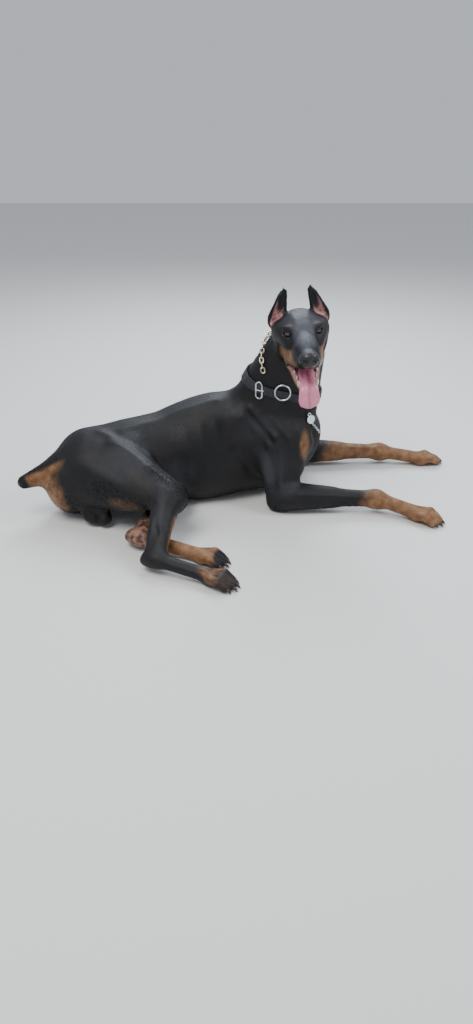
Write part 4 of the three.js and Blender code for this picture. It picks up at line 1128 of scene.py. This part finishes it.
@dataclass
class Metalwork:
    """The chain collar, the ring and frame on the strap, and the tag with its chain end."""

    body: BVHTree
    strap: BVHTree
    pitch: float = 13.0
    chain_height: float = 8.2
    fine_links: int = 8
    tag_radius: float = 12.0
    tag_depth: float = 2.2

    def loop(self, radius: float, wire: float, drawn: float, flat: float = 1.0) -> bpy.types.Object:
        """Models a ring or link in millimetres: a torus drawn out along x and pressed flat a little."""
        fresh()
        bpy.ops.mesh.primitive_torus_add(
            major_segments=40, minor_segments=12, major_radius=radius * MM, minor_radius=wire * MM
        )
        loop = bpy.context.object
        half = (drawn - 1) * radius * MM
        for sign in (1, -1):
            select_where(loop, lambda co: co.x * sign > 1e-5)
            bpy.ops.transform.translate(value=(sign * half, 0, 0))
            bpy.ops.object.mode_set(mode="OBJECT")
        select_where(loop, lambda co: True)
        bpy.ops.transform.resize(value=(1, 1, flat))
        bpy.ops.object.mode_set(mode="OBJECT")
        bpy.ops.object.shade_smooth()
        return loop

    def on(self, tree: BVHTree, start: Vector, direction: Vector, height: float) -> Vector:
        """Returns the place above a surface that a ray from inside it meets."""
        aim = direction.normalized()
        spot, _, _, _ = tree.ray_cast(start, aim)
        return spot + aim * height * MM

    def chain(self) -> None:
        """Hangs the chain about the upper neck, link by link."""
        plane = Vector((0.672, -0.596, 0.439)).normalized()
        a = plane.cross(Vector((0, 0, 1))).normalized()
        b = plane.cross(a)
        centre = at((92, 36, 380))
        top = at(COLLAR_SEAM) + COLLAR_SIDE * STRAP_END * MM
        lies, last, count = [], None, 0
        for step in range(720):
            turn = math.radians(step / 2)
            out = (a * math.cos(turn) + b * math.sin(turn)).normalized()
            spot = self.on(self.body, centre, out, self.chain_height)
            if (spot - top).dot(COLLAR_SIDE) < 0.009:
                continue
            if last is not None and (spot - last).length < self.pitch * MM:
                continue
            if last is not None and (spot - last).length < 2 * self.pitch * MM:
                along = (spot - last).normalized()
                tilt = along.cross(out) * (1 if count % 2 else -1)
                lies.append(facing(out + tilt, along, (spot + last) / 2))
                count += 1
            last = spot
        chain = copies_of(self.loop(5.0, 1.9, 1.5), lies)
        settle(chain, "chain_links", WearFinish(Wear.BRASS).material())
        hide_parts("chain_collar")

    def build(self) -> None:
        """Builds all the metal pieces."""
        self.chain()
        steel = WearFinish(Wear.STEEL).material()
        spot = self.on(self.strap, at((93, 30, 328)), Vector((0, -1, 0.05)), 3.2)
        ring = copies_of(self.loop(21, 2.3, 1.0), [facing(Vector((-0.08, -1, 0)), Vector((1, 0, 0)), spot)])
        settle(ring, "large_ring", steel)
        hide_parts("collar_ring")
        spot = self.on(self.strap, at((50, 40, 334)), Vector((-0.32, -0.94, 0)), 4.6)
        lie = facing(Vector((-0.42, -0.9, 0)), Vector((0, 0, 1)), spot)
        frame_piece = copies_of(self.loop(9, 2.1, 2.5, 0.8), [lie])
        fresh()
        bpy.ops.mesh.primitive_cylinder_add(vertices=16, radius=1.5 * MM, depth=20 * MM)
        prong = bpy.context.object
        select_where(prong, lambda co: co.z > 0)
        bpy.ops.mesh.extrude_region_move(TRANSFORM_OT_translate={"value": (0, 0, 0.003)})
        bpy.ops.transform.resize(value=(0.6, 0.6, 1))
        bpy.ops.object.mode_set(mode="OBJECT")
        prong.data.transform(lie @ Matrix.Rotation(math.radians(90), 4, "X"))
        only(frame_piece, prong)
        bpy.ops.object.join()
        settle(frame_piece, "buckle_frame", steel)
        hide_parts("collar_buckle")
        self.tag(steel)

    def tag(self, steel: bpy.types.Material) -> None:
        """Builds the bare round tag and the end of fine chain below it."""
        look = Vector((0.52, -0.84, 0.12)).normalized()
        place = at((174, -11.5, 248.5))
        fresh()
        bpy.ops.mesh.primitive_cylinder_add(
            vertices=64, radius=self.tag_radius * MM, depth=self.tag_depth * MM
        )
        disc = bpy.context.object
        bpy.ops.object.mode_set(mode="EDIT")
        bpy.ops.mesh.select_mode(type="FACE")
        bpy.ops.object.mode_set(mode="OBJECT")
        for face in disc.data.polygons:
            face.select = abs(face.normal.z) > 0.9
        bpy.ops.object.mode_set(mode="EDIT")
        bpy.ops.mesh.inset(thickness=0.0011, depth=0)
        bpy.ops.mesh.inset(thickness=0.0004, depth=-0.0004)
        bpy.ops.object.mode_set(mode="OBJECT")
        modify(disc, "BEVEL", width=0.0003, segments=2, limit_method="ANGLE")
        bpy.ops.object.shade_smooth_by_angle(angle=math.radians(35))
        disc.data.transform(facing(look, Vector((0, 0, 1)), place))
        loop = copies_of(self.loop(4.4, 1.0, 1.0), [facing(look, Vector((1, 0, 0)), at((169, -14, 263)))])
        only(disc, loop)
        bpy.ops.object.join()
        settle(disc, "round_tag", WearFinish(Wear.TAG).material())
        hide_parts("tag")
        start, end = at((181, -2, 231)), at((205.5, 40, 189.5))
        along = (end - start).normalized()
        across = along.cross(Vector((1, 0, 0)))
        lies = []
        for i in range(self.fine_links):
            look = across if i % 2 else along.cross(across)
            lies.append(facing(look, along, start.lerp(end, i / (self.fine_links - 1))))
        links = copies_of(self.loop(3, 1.0, 1.6), lies)
        settle(links, "fine_chain", steel)
        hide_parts("tag_chain")


@dataclass
class Tufts:
    """Short hair as solid blades that follow the lie of the coat, thickest where it breaks the form."""

    count: int = 15000
    length: float = 6.5
    width: float = 0.75
    lift: float = 0.1

    def flow(self, spots: np.ndarray) -> np.ndarray:
        """Returns the lie of the coat at each spot: back along the trunk and down each limb."""
        lie = np.tile([-1.0, -0.15, -0.45], (len(spots), 1)) * 0.35
        for start, end, reach in (
            (NECK_TOP, NECK_BASE, 110),
            (ELBOW_RIGHT, FORE_RIGHT, 60),
            (ELBOW_LEFT, FORE_LEFT, 60),
            (KNEE_RIGHT, HOCK_RIGHT, 60),
            (HOCK_RIGHT, HIND_RIGHT, 55),
            (KNEE_LEFT, HOCK_LEFT, 55),
            (HOCK_LEFT, HIND_LEFT, 55),
            (TAIL_ROOT, TAIL_TIP, 60),
            ((-400, -90, 190), KNEE_RIGHT, 90),
        ):
            a, b = at(start), at(end)
            near, _ = distance_to(spots, a, b)
            along = np.array((b - a).normalized())
            lie += along * np.exp(-((near / (reach * MM)) ** 2))[:, None] * 3
        nose = np.array(-head_axis(1) - head_axis(2) * 0.3)
        near, _ = distance_to(spots, at((0, 90, -40), Zone.HEAD), at((0, -60, -20), Zone.HEAD))
        lie += nose * np.exp(-((near / 0.07) ** 2))[:, None] * 5
        up = np.array(head_axis(2))
        for side in (1, -1):
            root, tip = at((side * 55, -84, 16), Zone.HEAD), at((side * 28, -87, 95), Zone.HEAD)
            near, _ = distance_to(spots, root, tip)
            lie += up * np.exp(-((near / 0.022) ** 2))[:, None] * 9
        return lie

    def thickness(self, spots: np.ndarray) -> np.ndarray:
        """Returns how thickly hair stands at each spot."""
        dense = np.full(len(spots), 0.06)
        for zone, start, end, reach in (
            (Zone.BODY, (-500, -110, 130), TAIL_TIP, 40),
            (Zone.BODY, (-510, -130, 110), (-450, -190, 60), 34),
            (Zone.BODY, (-387, -203, 128), (-260, -256, 111), 26),
            (Zone.BODY, (166, 40, 200), (150, 60, 90), 34),
            (Zone.BODY, (150, 20, 300), (170, 10, 230), 30),
            (Zone.BODY, (-247, -193, 186), (-171, -247, 150), 22),
            (Zone.BODY, (70, -80, 20), (300, -90, 18), 26),
            (Zone.BODY, (110, 250, 20), (380, 256, 18), 26),
            (Zone.HEAD, (58, -70, -20), (46, -40, -86), 22),
            (Zone.HEAD, (-58, -70, -20), (-46, -40, -86), 22),
            (Zone.HEAD, (78, -84, -6), (30, -87, 96), 12),
            (Zone.HEAD, (-78, -84, -6), (-30, -87, 96), 12),
            (Zone.HEAD, (36, -84, 16), (24, -87, 90), 8),
            (Zone.HEAD, (-36, -84, 16), (-24, -87, 90), 8),
            (Zone.BODY, (0, 80, 270), (100, 60, 460), 30),
        ):
            near, _ = distance_to(spots, at(start, zone), at(end, zone))
            dense = np.maximum(dense, 3 * np.exp(-((near / (reach * MM)) ** 2)))
        for centre, reach in (((0, 118, -24), 30), ((35, 4, 0), 17), ((-35, 4, 0), 17), ((0, 60, -62), 34)):
            dense[np.linalg.norm(spots - np.array(at(centre, Zone.HEAD)), axis=1) < reach * MM] = 0
        inner = np.linalg.norm((spots - np.array(at((0, 40, -92), Zone.HEAD))), axis=1) < 0.06
        dense[inner] = 0
        for side in (1, -1):
            tip = np.array(at((side * 26, -87, 100), Zone.HEAD))
            dense[np.linalg.norm(spots - tip, axis=1) < 0.016] = 0
        for toes, heading, reach in PAWS:
            far = Vector(toes) + Vector((*heading, 0)) * (reach + 20)
            near, share = distance_to(spots, at(toes), at(far))
            dense[(near < 0.045) & (share > 0.4)] *= 0.2
        dense[spots[:, 2] < 0.006] = 0
        return dense

    def build(self, skin: bpy.types.Object, material: bpy.types.Material) -> None:
        """Plants the tufts on the skin."""
        mesh = skin.data
        total = len(mesh.polygons)
        centres, areas, facings = np.empty(total * 3), np.empty(total), np.empty(total * 3)
        mesh.polygons.foreach_get("center", centres)
        mesh.polygons.foreach_get("area", areas)
        mesh.polygons.foreach_get("normal", facings)
        centres, facings = centres.reshape(-1, 3), facings.reshape(-1, 3)
        chance = areas * self.thickness(centres)
        rng = np.random.default_rng(SEED)
        picked = rng.choice(total, self.count, p=chance / chance.sum())
        roots, out = centres[picked], facings[picked]
        jitter = rng.normal(0, 0.0008, roots.shape)
        roots = roots + jitter - out * (jitter * out).sum(axis=1)[:, None]
        lie = self.flow(roots) + rng.normal(0, 0.16, roots.shape)
        lie -= out * (lie * out).sum(axis=1)[:, None]
        lie /= np.linalg.norm(lie, axis=1)[:, None] + 1e-9
        side = np.cross(out, lie)
        face = np.exp(-((np.linalg.norm(roots - np.array(at((0, 20, -20), Zone.HEAD)), axis=1) / 0.11) ** 2))
        long = self.length * MM * rng.uniform(0.7, 1.25, self.count) * (1 - 0.45 * face)
        wide = self.width * MM * rng.uniform(0.7, 1.2, self.count) * (1 - 0.3 * face)
        lift = self.lift * rng.uniform(0.6, 1.5, self.count)
        rings = []
        for share, size in ((0.0, 1.0), (0.5, 0.8)):
            sunk = 0.0003 * (share == 0)
            spine = roots + lie * (long * share)[:, None] + out * (long * lift * share - sunk)[:, None]
            half = side * (wide * size / 2)[:, None]
            ridge = out * (wide * size * 0.35)[:, None]
            rings += [spine - half, spine + ridge, spine + half]
        tip = roots + lie * long[:, None] + out * (long * lift * 0.9)[:, None]
        spots = np.stack([*rings, tip], axis=1).reshape(-1, 3)
        spots[:, 2] = np.maximum(spots[:, 2], 0.0002)
        root_end, sides = ((0, 2, 1),), ((0, 1, 4), (0, 4, 3), (1, 2, 5), (1, 5, 4), (2, 0, 3), (2, 3, 5))
        point = ((3, 4, 6), (4, 5, 6), (5, 3, 6))
        pattern = np.array([*root_end, *sides, *point])
        faces = (pattern[None] + (np.arange(self.count) * 7)[:, None, None]).reshape(-1, 3)
        coat = bpy.data.meshes.new("coat_tufts")
        coat.from_pydata(spots.tolist(), [], faces.tolist())
        tufts = bpy.data.objects.new("coat_tufts", coat)
        bpy.context.scene.collection.objects.link(tufts)
        self.map(mesh, coat, picked)
        only(tufts)
        bpy.ops.object.mode_set(mode="EDIT")
        bpy.ops.mesh.select_all(action="SELECT")
        bpy.ops.mesh.normals_make_consistent(inside=False)
        bpy.ops.object.mode_set(mode="OBJECT")
        bpy.ops.object.shade_smooth()
        settle(tufts, "coat_tufts", material)

    def map(self, skin: bpy.types.Mesh, coat: bpy.types.Mesh, picked: np.ndarray) -> None:
        """Gives each tuft a small patch of the skin's map, at the place of its root."""
        flat = np.empty(len(skin.loops) * 2)
        skin.uv_layers[BAKE_MAP].data.foreach_get("uv", flat)
        corners = flat.reshape(-1, 2)
        starts = np.empty(len(skin.polygons), int)
        skin.polygons.foreach_get("loop_start", starts)
        roots = (corners[starts[picked]] + corners[starts[picked] + 1] + corners[starts[picked] + 2]) / 3
        corner = np.empty(len(coat.loops), int)
        coat.loops.foreach_get("vertex_index", corner)
        corners_of_tuft = [(0, 0), (0.5, 0), (1, 0), (0, 0.5), (0.5, 0.5), (1, 0.5), (0.5, 1)]
        patch = np.array(corners_of_tuft) * TUFT_PATCH - TUFT_PATCH / 2
        layer = coat.uv_layers.new(name=BAKE_MAP)
        where = np.clip(roots[corner // 7] + patch[corner % 7], 0, 1)
        layer.data.foreach_set("uv", where.astype(np.float32).ravel())


CAMERA_PLACE = (-30, -2040, 1040)
CAMERA_PITCH = 28
FOCAL_PIXELS, IMAGE_HEIGHT, SENSOR_HEIGHT = 790, 1024, 36


def studio() -> None:
    """Adds a plain pale floor, soft lights and the camera."""
    bpy.ops.object.select_all(action="DESELECT")
    bpy.ops.mesh.primitive_plane_add(size=14, location=(0, 0, 0))
    floor = bpy.context.object
    floor.name = "floor"
    s = Shader("floor")
    floor.data.materials.append(s.finish(Base_Color=(0.72, 0.72, 0.70), Roughness=0.85))
    world = bpy.data.worlds.new("world")
    world.use_nodes = True
    world.node_tree.nodes["Background"].inputs[0].default_value = (0.86, 0.9, 1.0, 1)
    world.node_tree.nodes["Background"].inputs[1].default_value = 0.62
    bpy.context.scene.world = world
    for place, size, power, tint in (
        ((-0.9, -1.3, 2.6), 1.3, 62, (1.0, 0.98, 0.95)),
        ((1.7, -0.4, 1.8), 0.9, 26, (0.93, 0.96, 1.0)),
        ((0.1, 1.9, 2.1), 1.4, 62, (0.85, 0.92, 1.0)),
    ):
        light = bpy.data.lights.new("soft", "AREA")
        light.size = size
        light.energy = power
        light.color = tint
        lamp = bpy.data.objects.new("soft", light)
        bpy.context.scene.collection.objects.link(lamp)
        lamp.location = place
        lamp.rotation_euler = (Vector((0, 0, 0.25)) - Vector(place)).to_track_quat("-Z", "Y").to_euler()
    camera = bpy.data.cameras.new("camera")
    camera.sensor_fit = "VERTICAL"
    camera.sensor_height = SENSOR_HEIGHT
    camera.lens = FOCAL_PIXELS / IMAGE_HEIGHT * SENSOR_HEIGHT
    camera.clip_start = 0.05
    eye = bpy.data.objects.new("camera", camera)
    eye.location = at(CAMERA_PLACE)
    eye.rotation_euler = Euler((math.radians(90 - CAMERA_PITCH), 0, 0))
    bpy.context.scene.collection.objects.link(eye)
    bpy.context.scene.camera = eye


def main() -> None:
    """Builds the pieces in order."""
    logging.basicConfig(level=logging.INFO, format="%(name)s: %(message)s")
    hair = HairFinish()
    skin = Skin().build()
    settle(skin, "skin", hair.material("hair_skin", False))
    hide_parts(*FLESH)
    Tufts().build(skin, hair.material("hair_tufts", True))
    Eyes().build()
    Fangs().build()
    Tongue().build()
    strap = Strap().build()
    scene = bpy.context.evaluated_depsgraph_get()
    Metalwork(BVHTree.FromObject(skin, scene), BVHTree.FromObject(strap, scene)).build()
    studio()


if __name__ == "__main__":
    main()
